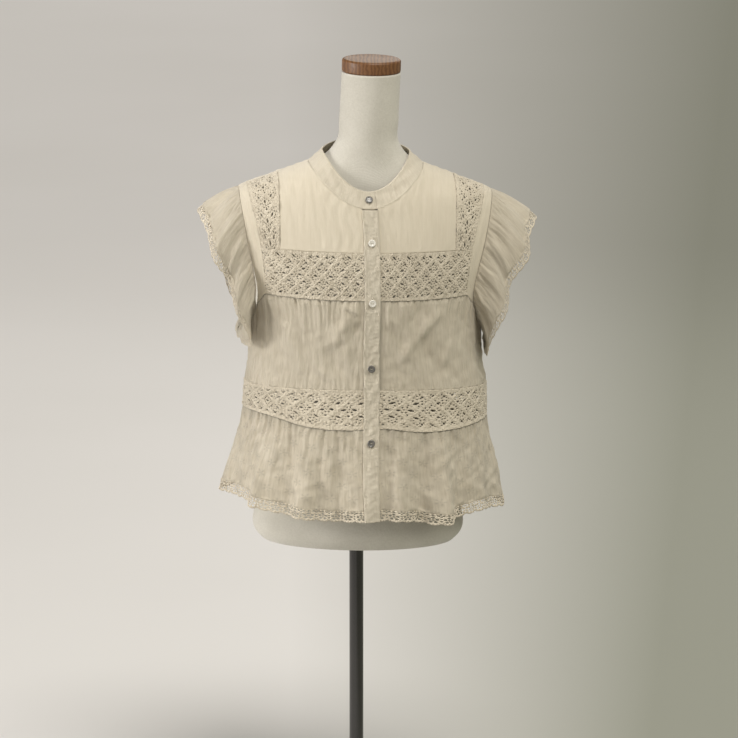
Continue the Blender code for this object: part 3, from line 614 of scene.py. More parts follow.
def cloth(name, place, size, pitch, finish, node, lift=None, pattern=None, relief=0.0, wall=CLOTH,
          flip=False, shade=None):
    """A piece of cloth on place(u, v), as a grid of cells of this pitch over its size in millimetres.

    It reaches a little into its seams on all sides, and lift moves its points outwards. A pattern gives, for
    a place in millimetres on the cloth, how far inside the threads it lies: cells outside them are left out,
    the rims of the holes are drawn to where the pattern is zero, and the threads stand out by the relief. A
    live Solidify gives the wall, inwards.
    """
    columns = max(2, round(size[0] / pitch)) + 1
    rows = max(2, round(size[1] / pitch)) + 1
    v, u = np.meshgrid(np.linspace(0.0, 1.0, rows), np.linspace(0.0, 1.0, columns), indexing="ij")
    u = u.ravel() + (2.0 * u.ravel() - 1.0) * SEAM_TAKEN / size[0]
    v = v.ravel() + (2.0 * v.ravel() - 1.0) * SEAM_TAKEN / size[1]
    faces = grid_faces(rows, columns)
    thread = None
    if pattern:
        x, y = u * size[0], v * size[1]
        inside = pattern(x, y)
        slope = np.stack([
            pattern(x + RIM_STEP, y) - pattern(x - RIM_STEP, y),
            pattern(x, y + RIM_STEP) - pattern(x, y - RIM_STEP),
        ]) / (2 * RIM_STEP)
        kept = inside[faces].mean(axis=1) > 0
        used, dropped = np.zeros(len(u), bool), np.zeros(len(u), bool)
        used[faces[kept]] = True
        dropped[faces[~kept]] = True
        rim = used & dropped
        move = -inside / np.maximum((slope ** 2).sum(axis=0), 0.05)
        shift = np.clip(move * slope, -0.55 * pitch, 0.55 * pitch) * rim
        u = np.clip(u + shift[0] / size[0], 0.0, 1.0)
        v = np.clip(v + shift[1] / size[1], 0.0, 1.0)
        faces = (np.cumsum(used) - 1)[faces[kept]]
        u, v = u[used], v[used]
        thread = np.clip(pattern(u * size[0], v * size[1]), 0.0, None)
    points = place(u, v)
    away = outward(place, u, v)
    if flip:
        away = -away
        faces = faces[:, ::-1]
    x, y = u * size[0], v * size[1]
    total = 0.0 * u
    if lift:
        total = total + lift(u, v, x, y)
    if thread is not None:
        total = total + relief * np.sqrt(np.clip(thread / 1.1, 0.0, 1.0))
    points = points + away * total[:, None]
    corners = np.stack([x, y], axis=-1) * MM
    # Shades darken the colour: painted shade at seams and beside the button stand, and the peplum's figure.
    shades = shade(u, v, x, y) if shade else 0.0 * u
    piece = add_piece(name, stand_up(points), faces, finish, node, corners, shades)
    if wall:
        shell = piece.modifiers.new("wall", "SOLIDIFY")
        shell.thickness = wall * MM
        shell.offset = -1.0
    return piece


def upper(first, last, bottom, top, back=False, to_shoulder=True):
    """The place function of a piece above the bust seam, whose sides are places across."""

    def place(u, v):
        share = np.sin(0.5 * math.pi * 0.9990 * v) if to_shoulder else v
        across, height = settle(u, share, first, last, bottom, top)
        angle = angle_of(across, height)
        return skin(math.pi - angle if back else angle, height)

    return place


def side_of(sign, edge):
    return lambda height: sign * edge(height)


def stand_edge(sign):
    return lambda height: placket_line(height) + sign * (PLACKET_HALF + STAND_GAP)


def in_order(sign, near, far):
    return (far, near) if sign < 0 else (near, far)


gauze = cloth_finish("cream_gauze", (0.75, 0.675, 0.54), (0.61, 0.54, 0.415), 0.0009, 1.25, 0.9)


def yoke_lift(u, v, x, y):
    """Faint long ripples of the crinkled gauze, which fade towards the seams."""
    edges = within(u, 0.06) * within(v, 0.06)
    return (0.5 * ripples(x, y, 24.0, 110.0, 3) + 0.14 * ripples(x, y, 7.0, 90.0, 4)) * edges


plain = cloth_finish("plain_gauze", (0.755, 0.68, 0.545), (0.705, 0.63, 0.495), 0.0009, 0.35, 0.4)
for side, sign in SIDES:
    first, last = in_order(sign, stand_edge(sign), side_of(sign, band_inner))
    cloth(
        f"gauze_yoke_{side}", upper(first, last, chest_top, front_top), (128.0, 118.0), 1.6, plain,
        f"yoke_front_{side}", yoke_lift,
    )
    first, last = in_order(sign, side_of(sign, band_outer), side_of(sign, armhole))
    cloth(
        f"gauze_strip_{side}", upper(first, last, bust_seam, ridge), (34.0, 178.0), 1.6, plain,
        f"armhole_front_{side}", yoke_lift,
    )
cloth(
    "gauze_yoke_back", upper(side_of(-1, armhole), side_of(1, armhole), back_seam, back_top, back=True),
    (440.0, 205.0), 2.0, plain, "yoke_back", yoke_lift, flip=True,
)


# The crochet insertions on the chest and shoulders: one wide cotton band, worked solid along both edges, with
# rows of small flowers of six petals, holes between them, and raised leaves that cross in slanting rows.
LACE_COLUMN = 12.6
LACE_ROW = 9.8
LACE_LEAVES = 27.0
LACE_EDGE = 4.6
LEAF_HALF = 1.9
PETAL_REACH = 4.3
HEART_HOLE = 0.85
PETAL_HOLE = 0.95
GROUND_HOLE = 1.45
LACE_THREAD = 0.6
CHEST_HIGH = 74.0
SHOULDER_WIDE = 44.0


def lace_flowers(x, y, height):
    """A place's distance and turn from its flower's heart, and how far it is from a leaf and from a hole."""
    x, y = x + 0.8 * np.sin(0.21 * x + 0.33 * y), y + 0.7 * np.sin(0.27 * x - 0.12 * y + 1.0)
    row = np.round((y - height / 2) / LACE_ROW)
    across = (x + row * LACE_COLUMN / 2 + LACE_COLUMN / 2) % LACE_COLUMN - LACE_COLUMN / 2
    up = y - height / 2 - row * LACE_ROW
    rising = np.abs((x + y - height / 2) % LACE_LEAVES - LACE_LEAVES / 2)
    falling = np.abs((x - y + height / 2) % LACE_LEAVES - LACE_LEAVES / 2)
    leaves = np.minimum(rising, falling) / math.sqrt(2.0)
    ground = np.hypot(np.abs(across) - LACE_COLUMN / 2, up)
    return np.hypot(across, up), np.arctan2(across, up) + 0.8 * row, leaves, ground


def wide_band(height):
    """The band's threads, by the distance from the nearest hole: hearts, holes round them, and between."""

    def pattern(x, y):
        radius, turn, leaves, ground = lace_flowers(x, y, height)
        step = math.pi / 3
        turn = turn % step - step / 2
        ring = np.hypot(radius * np.cos(turn) - PETAL_REACH, radius * np.sin(turn))
        holes = np.minimum.reduce([radius - HEART_HOLE, ring - PETAL_HOLE, ground - GROUND_HOLE])
        solid = np.maximum(LEAF_HALF - leaves, LACE_EDGE - np.minimum(y, height - y))
        return np.maximum(holes, solid)

    return pattern


def leaf_relief(height):
    """How far the petals, the leaves with their ribs and the braids along the edges stand out."""

    def lift(u, v, x, y):
        radius, turn, leaves = lace_flowers(x, y, height)[:3]
        petals = np.clip(-np.cos(6.0 * turn), -0.2, 1.0) * bell(radius - 2.9, 1.5)
        leaf = bell(leaves, 1.4) * (0.55 + 0.45 * np.cos(2.0 * math.pi * x / 5.2))
        edge = np.minimum(y, height - y)
        braid = bell(edge - 2.2, 1.3) * (0.7 + 0.3 * np.cos(2.0 * math.pi * x / 3.1))
        return 1.1 * petals + 0.7 * leaf + 0.25 * braid + 0.6 * ripples(x, y, 20.0, 60.0, 7)

    return lift


crochet = cloth_finish("cream_crochet", (0.79, 0.71, 0.57), (0.63, 0.555, 0.43), 0.0016, 0.8, 1.0)
for side, sign in SIDES:
    first, last = in_order(sign, stand_edge(sign), side_of(sign, band_outer))
    cloth(
        f"crochet_chest_{side}", upper(first, last, bust_seam, chest_top, to_shoulder=False),
        (162.0, CHEST_HIGH), 0.72, crochet, f"chest_lace_{side}", leaf_relief(CHEST_HIGH),
        wide_band(CHEST_HIGH), LACE_THREAD, wall=LACE_THREAD,
    )
    first, last = in_order(sign, side_of(sign, band_inner), side_of(sign, band_outer))

    def upright(x, y):
        return wide_band(SHOULDER_WIDE)(y, x)

    def upright_relief(u, v, x, y):
        return leaf_relief(SHOULDER_WIDE)(v, u, y, x)

    cloth(
        f"crochet_shoulder_{side}", upper(first, last, chest_top, ridge), (SHOULDER_WIDE, 112.0), 0.75,
        crochet, f"shoulder_lace_{side}", upright_relief, upright, LACE_THREAD, wall=LACE_THREAD,
    )


# The bodice: two fronts and a back of crinkled gauze, gathered into the seam under the crochet and eased
# into the waist. The gathers stand out below the seam and fade, and long soft creases cross the bust.
WAIST_TOP_FRONT = 259.0
WAIST_TOP_DROP = 8.0
BODICE_HIGH = 140.0
CREASES = (
    (112, 386, 40, 300, 4.5, 9), (70, 352, 118, 268, -3, 10), (-24, 388, -58, 322, 4, 8),
    (-128, 372, -104, 276, 3, 9), (-70, 330, -40, 272, -3, 9),
)
SHORT_CREASES = (
    (-44, 397, -6, 372, 3.6, 4.5), (-38, 388, -2, 362, -2.2, 4), (-8, 372, -34, 330, -2.6, 5),
    (24, 380, 52, 352, 2.4, 5), (-112, 392, -90, 340, 2.2, 5), (86, 396, 60, 356, -2.4, 5),
    (30, 300, 64, 272, -2.4, 6), (-150, 340, -126, 290, -2.4, 6), (128, 340, 108, 280, 2.6, 6),
    (-92, 300, -60, 268, 2, 6),
)


def edge_by_angle(seam, end):
    """A seam that is known by its place across, then the armhole below it, as angles and heights."""
    across = np.linspace(0.0, end, 300)
    levels = seam(across)
    lower = np.linspace(levels[-1], UNDERARM, 120)[1:]
    angles = np.arcsin(np.clip(across / half_width(levels), 0.0, 1.0))
    arm = np.arcsin(np.clip(armhole(lower) / half_width(lower), 0.0, 1.0))
    return np.concatenate([angles, arm]), np.concatenate([levels, lower])


front_edge = edge_by_angle(bust_seam, BUST_SEAM[-1][0])
back_edge = edge_by_angle(back_seam, float(armhole(BUST_SEAM[0][1])))


def lower_top(angle):
    """The upper edge of the gathered panels by angle: the seam under the yoke, then the armhole."""
    turned_by = np.abs(angle)
    front = np.interp(turned_by, *front_edge)
    back = np.interp(np.abs(math.pi - turned_by), *back_edge)
    return np.where(turned_by < math.pi / 2, front, back)


def waist_top(angle):
    return WAIST_TOP_FRONT - WAIST_TOP_DROP * np.sin(angle) ** 2


def lower(first, last, bottom, top, lift=None):
    """The place function of a piece below the bust seam, whose sides are angles."""

    def place(u, v):
        angle, height = settle(u, v, first, last, bottom, top)
        return skin(angle, height, lift(u, angle, height) if lift else 0.0)

    return place


def gathers(count):
    """Ridges that start under the seam, stand out most a little below it and fade at uneven lengths."""

    def lift(u, angle, height):
        below = lower_top(angle) - height
        total = 0.0
        for k in range(count):
            middle = (k + 0.5 + 0.22 * math.sin(2.4 * k)) / count
            rise = 2.6 * (1.0 + 0.35 * math.sin(1.7 * k))
            length = 55.0 * (1.0 + 0.5 * math.sin(2.9 * k + 1.0))
            across = bell((u - middle) * count, 0.36)
            total = total + rise * across * bell(below, length)
        return total * rise_in(below / 9.0) * within(u, 0.06)

    return lift


def creases(u, angle, height):
    """Long soft ridges and troughs across the bust, bell-shaped across and faded at both ends."""
    across = half_width(height) * np.sin(angle)
    total = 0.0
    for x0, z0, x1, z1, depth, width in CREASES + SHORT_CREASES:
        length = math.hypot(x1 - x0, z1 - z0)
        along = ((across - x0) * (x1 - x0) + (height - z0) * (z1 - z0)) / length
        off = ((across - x0) * (z1 - z0) - (height - z0) * (x1 - x0)) / length
        fade = rise_in(along / 22.0) * rise_in((length - along) / 22.0)
        total = total + depth * fade * bell(off, width)
    below, above = lower_top(angle) - height, height - waist_top(angle)
    edges = rise_in(below / 14.0) * rise_in(above / 14.0)
    return total * edges * within(u, 0.08)


def front_lift(u, angle, height):
    return gathers(13)(u, angle, height) + creases(u, angle, height)


def bodice_lift(u, v, x, y):
    """Fine gathers at both seams and the gauze's long crinkles between them."""
    sides = within(u, 0.03)
    top = bell((1 - v) * BODICE_HIGH, 34.0) * rise_in((1 - v) / 0.02)
    foot = bell(v * BODICE_HIGH, 22.0) * rise_in(v / 0.02)
    fine = 1.5 * pleats(x, y, 6.2, 160.0, 11) * (top + 0.5 * foot)
    crumple = ripples(x + 0.6 * y, y, 27.0, 90.0, 14) + 0.6 * ripples(x - 1.3 * y, y, 36.0, 70.0, 15)
    long = 0.6 * ripples(x, y, 14.0, 130.0, 12) + 0.3 * ripples(x, y, 4.2, 60.0, 13)
    return (fine + 0.7 * crumple * rise_in(v / 0.1) * rise_in((1 - v) / 0.3) + long) * sides


def seam_shade(u, v, x, y):
    """Painted shade: a dark line along the upper seam that widens a little in the hollows of the gathers."""
    below = (1 - v) * BODICE_HIGH
    return 0.85 * bell(below, 1.3) + 0.18 * bell(below, 7.0)


def stand_shade(u, v, x, y):
    """Painted shade: the seam's dark line, and the shadow of the button stand painted on the piece at its
    left.
    """
    return np.maximum(seam_shade(u, v, x, y), 0.5 * bell(x, 3.2))


def fixed(value):
    return lambda height: value + 0 * height


def stand_angle(sign):
    return lambda height: angle_of(stand_edge(sign)(height), height)


quarter = math.pi / 2
SIDE_GAP = 0.0008
spans = (
    ("front_right", fixed(-quarter + SIDE_GAP), stand_angle(-1)),
    ("front_left", stand_angle(1), fixed(quarter - SIDE_GAP)),
    ("back", fixed(quarter + SIDE_GAP), fixed(3 * quarter - SIDE_GAP)),
)
seam_wide = {"front_right": 205.0, "front_left": 180.0, "back": 450.0}
flared_wide = {"front_right": 215.0, "front_left": 195.0, "back": 520.0}
for span, first, last in spans:
    piece = cloth(
        f"gauze_bodice_{span}",
        lower(first, last, waist_top, lower_top, gathers(18) if span == "back" else front_lift),
        (seam_wide[span], BODICE_HIGH), 1.7 if span == "back" else 1.15, gauze, f"bodice_{span}",
        bodice_lift, shade=stand_shade if span == "front_left" else seam_shade,
    )


# The waist band: the same crochet as on the chest, worked a little narrower, round the whole waist.
WAIST_SEAM = (
    (-180, 201), (-135, 206), (-90, 210), (-48, 207), (-30, 198), (-12, 196), (6, 199), (25, 192),
    (42, 192), (70, 197), (90, 199), (135, 200), (180, 201),
)


def round_seam(table):
    """A seam round the body by its angle, from a table of degrees and heights."""
    return lambda angle: smooth((np.degrees(angle) + 180.0) % 360.0 - 180.0, table, 1)


waist_seam = round_seam(WAIST_SEAM)
waist_high = {"front_right": 58.0, "front_left": 58.0, "back": 52.0}
for span, first, last in spans:
    high = waist_high[span]
    piece = cloth(
        f"crochet_waist_{span}", lower(first, last, waist_seam, waist_top), (seam_wide[span], high),
        0.95 if span == "back" else 0.76, crochet, f"waist_lace_{span}", leaf_relief(high),
        wide_band(high), LACE_THREAD, wall=LACE_THREAD,
    )


# The peplum: three flared panels of gauze with a faint figure of sprigs, falling in deep soft folds.
HEM = (
    (-180, 58), (-125, 66), (-92, 74), (-64, 73), (-50, 66), (-34, 60), (-14, 54), (6, 57), (18, 55),
    (28, 49), (38, 49), (48, 56), (61, 60), (80, 55), (100, 57), (140, 58), (180, 58),
)
HEM_LACE = 18.0
PEPLUM_HIGH = 125.0
SPRIG_ROW = 19.0
SPRIG_COLUMN = 24.0
hem = round_seam(HEM)


def lace_top(angle):
    return hem(angle) + HEM_LACE


PEPLUM_SWELLS = (
    (-140, 3, 9), (-116, -3.5, 9), (-76, -2.5, 8), (-44, -4, 9), (34, -3, 6), (84, -4.5, 8), (142, -4, 8),
    (162, 3, 8),
)


def swells(u, angle, height):
    """Broad soft folds of the peplum by their place across, more of them behind, which grow downwards."""
    across = half_width(height) * np.sin(angle)
    front = 0.0
    for centre, rise, width in PEPLUM_SWELLS:
        front = front + rise * bell(across - centre, width)
    back = 5.0 * np.sin(9.0 * angle + 0.8 * np.sin(3.0 * angle))
    total = np.where(np.cos(angle) > 0, front, back)
    sides = within(u, 0.08)
    return total * rise_in((FOLD_START - height) / 90.0) * sides


def peplum_lift(u, v, x, y):
    """Small gathers under the waist seam and loose crinkles that grow towards the hem."""
    sides = within(u, 0.03)
    top = bell((1 - v) * PEPLUM_HIGH, 55.0) * rise_in((1 - v) / 0.02)
    crumple = ripples(x + 0.5 * y, y, 30.0, 90.0, 24) + 0.6 * ripples(x - 1.2 * y, y, 38.0, 70.0, 25)
    loose = 1.2 * ripples(x, y, 20.0, 160.0, 21) * rise_in(1.1 - v) + 0.4 * ripples(x, y, 7.0, 90.0, 22)
    loose = loose + 0.9 * crumple * rise_in((1 - v) / 0.15)
    return (1.7 * pleats(x, y, 8.5, 150.0, 20) * top + loose * rise_in(v / 0.04)) * sides


def sprig_figure_and_painted_shade(u, v, x, y):
    """Painted seam shade, and the figure: staggered sprigs of five leaves, woven darker on uneven patches."""
    row = np.round(y / SPRIG_ROW)
    half = SPRIG_COLUMN / 2
    across, up = (x + half * (row % 2) + half) % SPRIG_COLUMN - half, y - SPRIG_ROW * row
    radius, turn = np.hypot(across, up), np.arctan2(across, up) + 0.9 * row
    leaves = np.clip(np.cos(5.0 * turn), 0.0, 1.0) * bell(radius - 3.8, 1.9)
    patches = np.clip(ripples(x + 0.5 * y, y, 24.0, 60.0, 27), 0.0, 1.0)
    figure = 0.34 * leaves + 0.26 * bell(radius, 1.3) + 0.2 * patches
    return seam_shade(u, v, x, y) + figure


figured = cloth_finish("figured_gauze", (0.75, 0.675, 0.54), (0.60, 0.53, 0.405), 0.0009, 1.25, 0.9)
for span, first, last in spans:
    piece = cloth(
        f"gauze_peplum_{span}", lower(first, last, lace_top, waist_seam, swells),
        (flared_wide[span], PEPLUM_HIGH), 1.7 if span == "back" else 1.25, figured, f"peplum_{span}",
        peplum_lift, shade=sprig_figure_and_painted_shade,
    )


# The hem lace: a machine-worked edging with a flower eyelet in every scallop and a row of holes above.
def edging(height, repeat):
    """An eyelet edging: cloth with round holes, by the distance from them, and a scalloped lower edge."""

    def pattern(x, y):
        across = (x + repeat / 2) % repeat - repeat / 2
        up = y - 0.46 * height
        radius, turn = np.hypot(across, up), np.arctan2(across, up)
        step = 2.0 * math.pi / 5
        turn = (turn + step / 2) % step - step / 2
        ring = 0.20 * height
        holes = np.hypot(radius * np.cos(turn) - ring, radius * np.sin(turn)) - 0.085 * height
        heart = radius - 0.065 * height
        small = repeat / 3
        ladder = np.hypot((x + small / 2) % small - small / 2, y - 0.86 * height) - 0.07 * height
        beside = np.hypot(x % repeat - repeat / 2, up % (0.2 * height) - 0.1 * height)
        between = np.maximum(beside - 0.06 * height, 0.19 * height - y)
        edge = y - 0.13 * height * (np.abs(across) / (0.5 * repeat)) ** 2.2 - 0.02 * height
        edge = edge - 0.03 * height * np.cos(2.0 * math.pi * x / (repeat / 5))
        return np.minimum.reduce([holes, heart, ladder, between, edge])

    return pattern


def hem_relief(u, v, x, y):
    """The peplum's crinkles carried on, with raised worked spots between the holes."""
    spots = np.cos(2.0 * math.pi * x / 3.5) * np.cos(2.0 * math.pi * y / 3.6)
    crinkles = peplum_lift(u, 0.04 + 0.0 * v, x, y) * rise_in((1 - v) / 0.3)
    return crinkles + 0.5 * spots + 0.6 * bell(y - 16.6, 0.8)


for span, first, last in spans:
    piece = cloth(
        f"eyelet_hem_{span}", lower(first, last, hem, lace_top, swells), (flared_wide[span] + 12.0, HEM_LACE),
        0.8 if span == "back" else 0.62, crochet, f"hem_lace_{span}", hem_relief,
        edging(HEM_LACE, 14.0), LACE_THREAD, wall=LACE_THREAD,
    )


# The collar: a straight band of gauze folded double, sewn round the neckline and buttoned at the front.
COLLAR_HALF_WIDTH = 67.0
COLLAR_FRONT = 75.0
COLLAR_BACK = 62.0
COLLAR_TOP_FRONT = 560.0
COLLAR_TOP_SIDE = 611.0
COLLAR_TOP_BACK = 620.0
COLLAR_START = 0.139
COLLAR_GAP = 0.006
COLLAR_SIZE = (470.0, 28.0)


def neck_edge(turn):
    """The neckline by the turn round the neck, 0 at the centre front."""
    across = NECK_HALF_WIDTH * np.sin(turn)
    facing = np.cos(turn) > 0
    height = np.where(facing, front_top(across), back_top(across))
    angle = angle_of(across, height)
    return skin(np.where(facing, angle, math.pi - angle), height)


def collar_top(turn):
    """The collar's upper edge: two half ellipses, higher at the sides and highest at the back."""
    facing = np.cos(turn) > 0
    x = COLLAR_HALF_WIDTH * np.sin(turn)
    y = -np.where(facing, COLLAR_FRONT, COLLAR_BACK) * np.cos(turn)
    centre = np.where(facing, COLLAR_TOP_FRONT, COLLAR_TOP_BACK)
    return np.stack([x, y, centre + (COLLAR_TOP_SIDE - centre) * np.sin(turn) ** 2], axis=-1)


def collar(u, v):
    turn = COLLAR_START + u * (2 * math.pi - COLLAR_GAP)
    low, high = neck_edge(turn), collar_top(turn)
    return low + (high - low) * v[:, None]


def collar_lift(u, v, x, y):
    """The two folded edges stand a little proud of the middle, which is softly rippled."""
    rims = 0.5 * (bell(v, 0.1) + bell(1 - v, 0.1))
    creased = 0.9 * ripples(x + 1.2 * y, y, 34.0, 60.0, 31) + 0.3 * ripples(x, y, 9.0, 50.0, 32)
    return rims + creased * within(v, 0.2)


gauze_double = cloth_finish("double_gauze", (0.76, 0.69, 0.56), (0.66, 0.59, 0.465), 0.0009, 0.9, 0.7)
collar_piece = cloth(
    "gauze_collar", collar, COLLAR_SIZE, 1.5, gauze_double, "collar_band", collar_lift, wall=1.2
)


# The button stand: two folded strips down the front, the buttonhole side over the button side, topstitched.
PLACKET_TOP = 534.0
STAND_LAYER = 1.5
STAND_BOW = 0.4
STAND_SIZE = (24.0, 485.0)


def front_stand(lift, bow=0.0):
    """A strip along the placket line, lifted off the skin, whose edges are bowed out by a little."""

    def place(u, v):
        bottom = hem(0.0) + 0.5
        height = bottom + (PLACKET_TOP - bottom) * v
        across = placket_line(height) + (2 * u - 1) * (PLACKET_HALF - STAND_GAP)
        return skin(angle_of(across, height), height, lift + bow * (2 * u - 1) ** 6)

    return place


def stand_lift(u, v, x, y):
    """Pressed edges a little proud and small puckers between the buttons."""
    edges = 0.35 * (bell(u, 0.12) + bell(1 - u, 0.12))
    return edges + 0.8 * ripples(y, 3.0 * x, 30.0, 60.0, 41) + 0.4 * ripples(y, 2.0 * x, 8.0, 40.0, 42)


for name, node, lift, bow in (
    ("gauze_stand_under", "under_placket", 0.0, 0.0), ("gauze_stand_over", "placket", STAND_LAYER, STAND_BOW),
):
    piece = cloth(
        name, front_stand(lift, bow), STAND_SIZE, 1.5, gauze_double, node,
        stand_lift if bow else None, wall=1.1,
    )


# The buttons: pearly shell, two holes each, with a raised rim, sewn on with cream thread.
BUTTON_RADIUS = 5.75
BUTTON_THICK = 2.4
BUTTON_HEIGHTS = (548.0, 486.0, 396.0, 293.0, 177.0)
BUTTON_CELL = 6.0
EYE_ASIDE = 1.35
EYE_RADIUS = 0.75
SIDEWAYS = np.array([1.0, 0.0, 0.0])


def shell_finish(name, light, dark):
    """Pearly shell: soft bands of two tones and a clear, glossy face."""
    material, tree, shader = new_finish(name, light, 0.25, coat_weight=0.5)
    bands = noise(tree, object_place(tree), 260.0, detail=2.0, distortion=1.5)
    tree.links.new(blend(tree, bands, dark, light), shader.inputs["Base Color"])
    return material


pearl = shell_finish("pearl_shell", (0.93, 0.91, 0.85), (0.70, 0.66, 0.57))
smoke = shell_finish("smoke_shell", (0.22, 0.21, 0.19), (0.07, 0.065, 0.06))
button_places = {}
for number, height in enumerate(BUTTON_HEIGHTS, 1):
    across = float(placket_line(height))
    if height > PLACKET_TOP:
        share = (height - NECK_FRONT) / (COLLAR_TOP_FRONT - NECK_FRONT)
        low, high = neck_edge(np.array([0.0]))[0], collar_top(np.array([0.0]))[0]
        centre, up, lift = low + (high - low) * share, high - low, 0.3
    else:
        centre = skin(angle_of(across, height), height)
        up = skin(angle_of(across, height + 4.0), height + 4.0) - centre
        lift = 1.8
    up = up / np.linalg.norm(up)
    forward = np.array([0.0, -up[2], up[1]])
    button_places[number] = (centre + lift * forward, up, forward)

    def disc(u, v, centre=centre, up=up, forward=forward, lift=lift):
        x, z = (2 * u - 1) * BUTTON_CELL, (2 * v - 1) * BUTTON_CELL
        return centre + forward * (lift + BUTTON_THICK - 0.8) + x[:, None] * SIDEWAYS + z[:, None] * up

    def button_face(x, y):
        """Inside the round outline and outside the two eyes."""
        x, y = x - BUTTON_CELL, y - BUTTON_CELL
        eyes = np.hypot(np.abs(x) - EYE_ASIDE, y) - EYE_RADIUS
        return np.minimum(BUTTON_RADIUS - np.hypot(x, y), eyes)

    def dish(u, v, x, y):
        """A raised rim, a rounded outer edge and a shallow bowl."""
        radius = np.hypot(x - BUTTON_CELL, y - BUTTON_CELL)
        rounded_edge = 0.8 * np.sqrt(np.clip((BUTTON_RADIUS - radius) / 1.3, 0.0, 1.0))
        return rounded_edge - 0.6 * rise_in((4.4 - radius) / 1.4)

    shell = smoke if number in (1, 4, 5) else pearl
    cloth(
        f"shell_button_{number}", disc, (2 * BUTTON_CELL, 2 * BUTTON_CELL), 0.3, shell,
        f"button_{number}", dish, pattern=button_face, wall=1.5,
    )


# The sewing: rows of topstitching along the button stand, the collar and the seams beside the crochet, a
# worked buttonhole under every button and the thread that holds it. Each stitch is a thin bar of its own.
STITCH_PITCH = 3.4
STITCH_LENGTH = 2.5
THREAD = 0.27
cotton_thread, tree, shader = new_finish("cotton_thread", (0.80, 0.735, 0.60), 0.75, sheen_weight=0.3)
twist = noise(tree, object_place(tree), 1500.0)
bump = put(tree, "ShaderNodeBump", [("Height", twist), ("Strength", 0.3), ("Distance", 0.0001)])
tree.links.new(bump.outputs["Normal"], shader.inputs["Normal"])


def cords(name, paths, aways, thick, taper):
    """Four-sided cords along paths of equally many points, with a share of the thickness at each point."""
    along = np.gradient(paths, axis=1)
    sideways = np.cross(along, aways)
    sideways = sideways / np.linalg.norm(sideways, axis=-1)[..., None]
    reach = thick * np.asarray(taper)[None, :, None]
    points = np.stack([paths + reach * way for way in (aways, sideways, -aways, -sideways)], axis=2)
    count, steps = points.shape[:2]
    faces = grid_faces(steps, 4, around=True)
    every = (faces[None] + 4 * steps * np.arange(count)[:, None, None]).reshape(-1, 4)
    add_piece(name, stand_up(points.reshape(-1, 3)), every, cotton_thread)


def topstitch(name, place, u, v, size, lift):
    """Stitches along the line of places u, v on a piece, half sunk into its outer face."""
    away = outward(place, u, v)
    line = place(u, v) + away * (lift(u, v, u * size[0], v * size[1]) + 0.1)[:, None]
    run = np.concatenate([[0.0], np.cumsum(np.linalg.norm(np.diff(line, axis=0), axis=1))])
    count = int(run[-1] / STITCH_PITCH)
    stations = (np.arange(count) + 0.5)[:, None] * STITCH_PITCH + STITCH_LENGTH * np.array([-0.5, 0.0, 0.5])
    paths = np.stack([np.interp(stations, run, line[:, k]) for k in range(3)], axis=-1)
    aways = np.stack([np.interp(stations, run, away[:, k]) for k in range(3)], axis=-1)
    cords(name, paths, aways, THREAD, (0.3, 1.0, 0.3))


level = np.linspace(0.004, 0.996, 500)
over = front_stand(STAND_LAYER, STAND_BOW)
for side, share in (("inner", 0.11), ("outer", 0.89)):
    topstitch(f"stitch_stand_{side}", over, share + 0 * level, level, STAND_SIZE, stand_lift)
rows = [("stitch_collar", collar, COLLAR_SIZE, collar_lift, 0.09)]
for side, sign in SIDES:
    first, last = in_order(sign, stand_edge(sign), side_of(sign, band_outer))
    chest = upper(first, last, bust_seam, chest_top, to_shoulder=False)
    rows.append((f"stitch_chest_{side}", chest, (162.0, CHEST_HIGH), leaf_relief(CHEST_HIGH), 0.02))
for span, first, last in spans:
    waist = lower(first, last, waist_seam, waist_top)
    size = (seam_wide[span], waist_high[span])
    rows.append((f"stitch_waist_{span}", waist, size, leaf_relief(waist_high[span]), 0.03))
for name, place, size, lift, inset in rows:
    for edge, share in (("low", inset), ("high", 1.0 - inset)):
        topstitch(f"{name}_{edge}", place, level, share + 0 * level, size, lift)

round_turn = np.linspace(0.0, 2.0 * math.pi, 25)
end = 6.6 * np.sign(np.cos(round_turn)) * (np.abs(np.cos(round_turn)) > 1e-6)
reach = np.linspace(-EYE_ASIDE, EYE_ASIDE, 7)
arch = 0.55 * (1.0 - (reach / EYE_ASIDE) ** 2) - 0.1
for number, (centre, up, forward) in button_places.items():
    worked = centre + (end + 1.1 * np.cos(round_turn))[:, None] * up
    worked = worked + 1.1 * np.sin(round_turn)[:, None] * SIDEWAYS + 0.25 * forward
    bar = centre + reach[:, None] * SIDEWAYS + (BUTTON_THICK - 0.7 + arch)[:, None] * forward
    for name, path, thick in ((f"buttonhole_{number}", worked, 0.45), (f"button_thread_{number}", bar, 0.28)):
        cords(name, path[None], np.broadcast_to(forward, path.shape)[None], thick, np.ones(len(path)))


# The sleeves: each a wide ruffle of gauze sewn round the armhole, deep in front and behind and almost
# nothing at the underarm, with a narrow scalloped lace along its edge.
SLEEVE_STATIONS = {
    "right": (
        (0, 3, 0, 16), (0.07, 2, 12, 34), (0.13, 2, 22, 54), (0.19, 14, 25, 62), (0.25, 26, 23, 65),
        (0.31, 33, 20, 62), (0.36, 38, 20, 72), (0.41, 46, 18, 70), (0.46, 55, 8, 52), (0.5, 59, 0, 40),
        (0.56, 49, -8, 46), (0.62, 40, -12, 56), (0.7, 33, -14, 62), (0.78, 27, -16, 58),
        (0.87, 14, -13, 50), (0.94, 6, -7, 34), (1, 3, 0, 16),
    ),
    "left": (
        (0, 4, 0, 20), (0.05, 6, 12, 44), (0.1, 13, 18, 57), (0.17, 31, 18, 58), (0.25, 44, 14, 60),
        (0.31, 46, 15, 62), (0.36, 54, 16, 66), (0.44, 62, 14, 60), (0.5, 69, 0, 46), (0.58, 62, -8, 52),
        (0.68, 52, -14, 60), (0.78, 42, -16, 58), (0.88, 26, -12, 48), (0.94, 8, -8, 32), (1, 4, 0, 20),
    ),
}
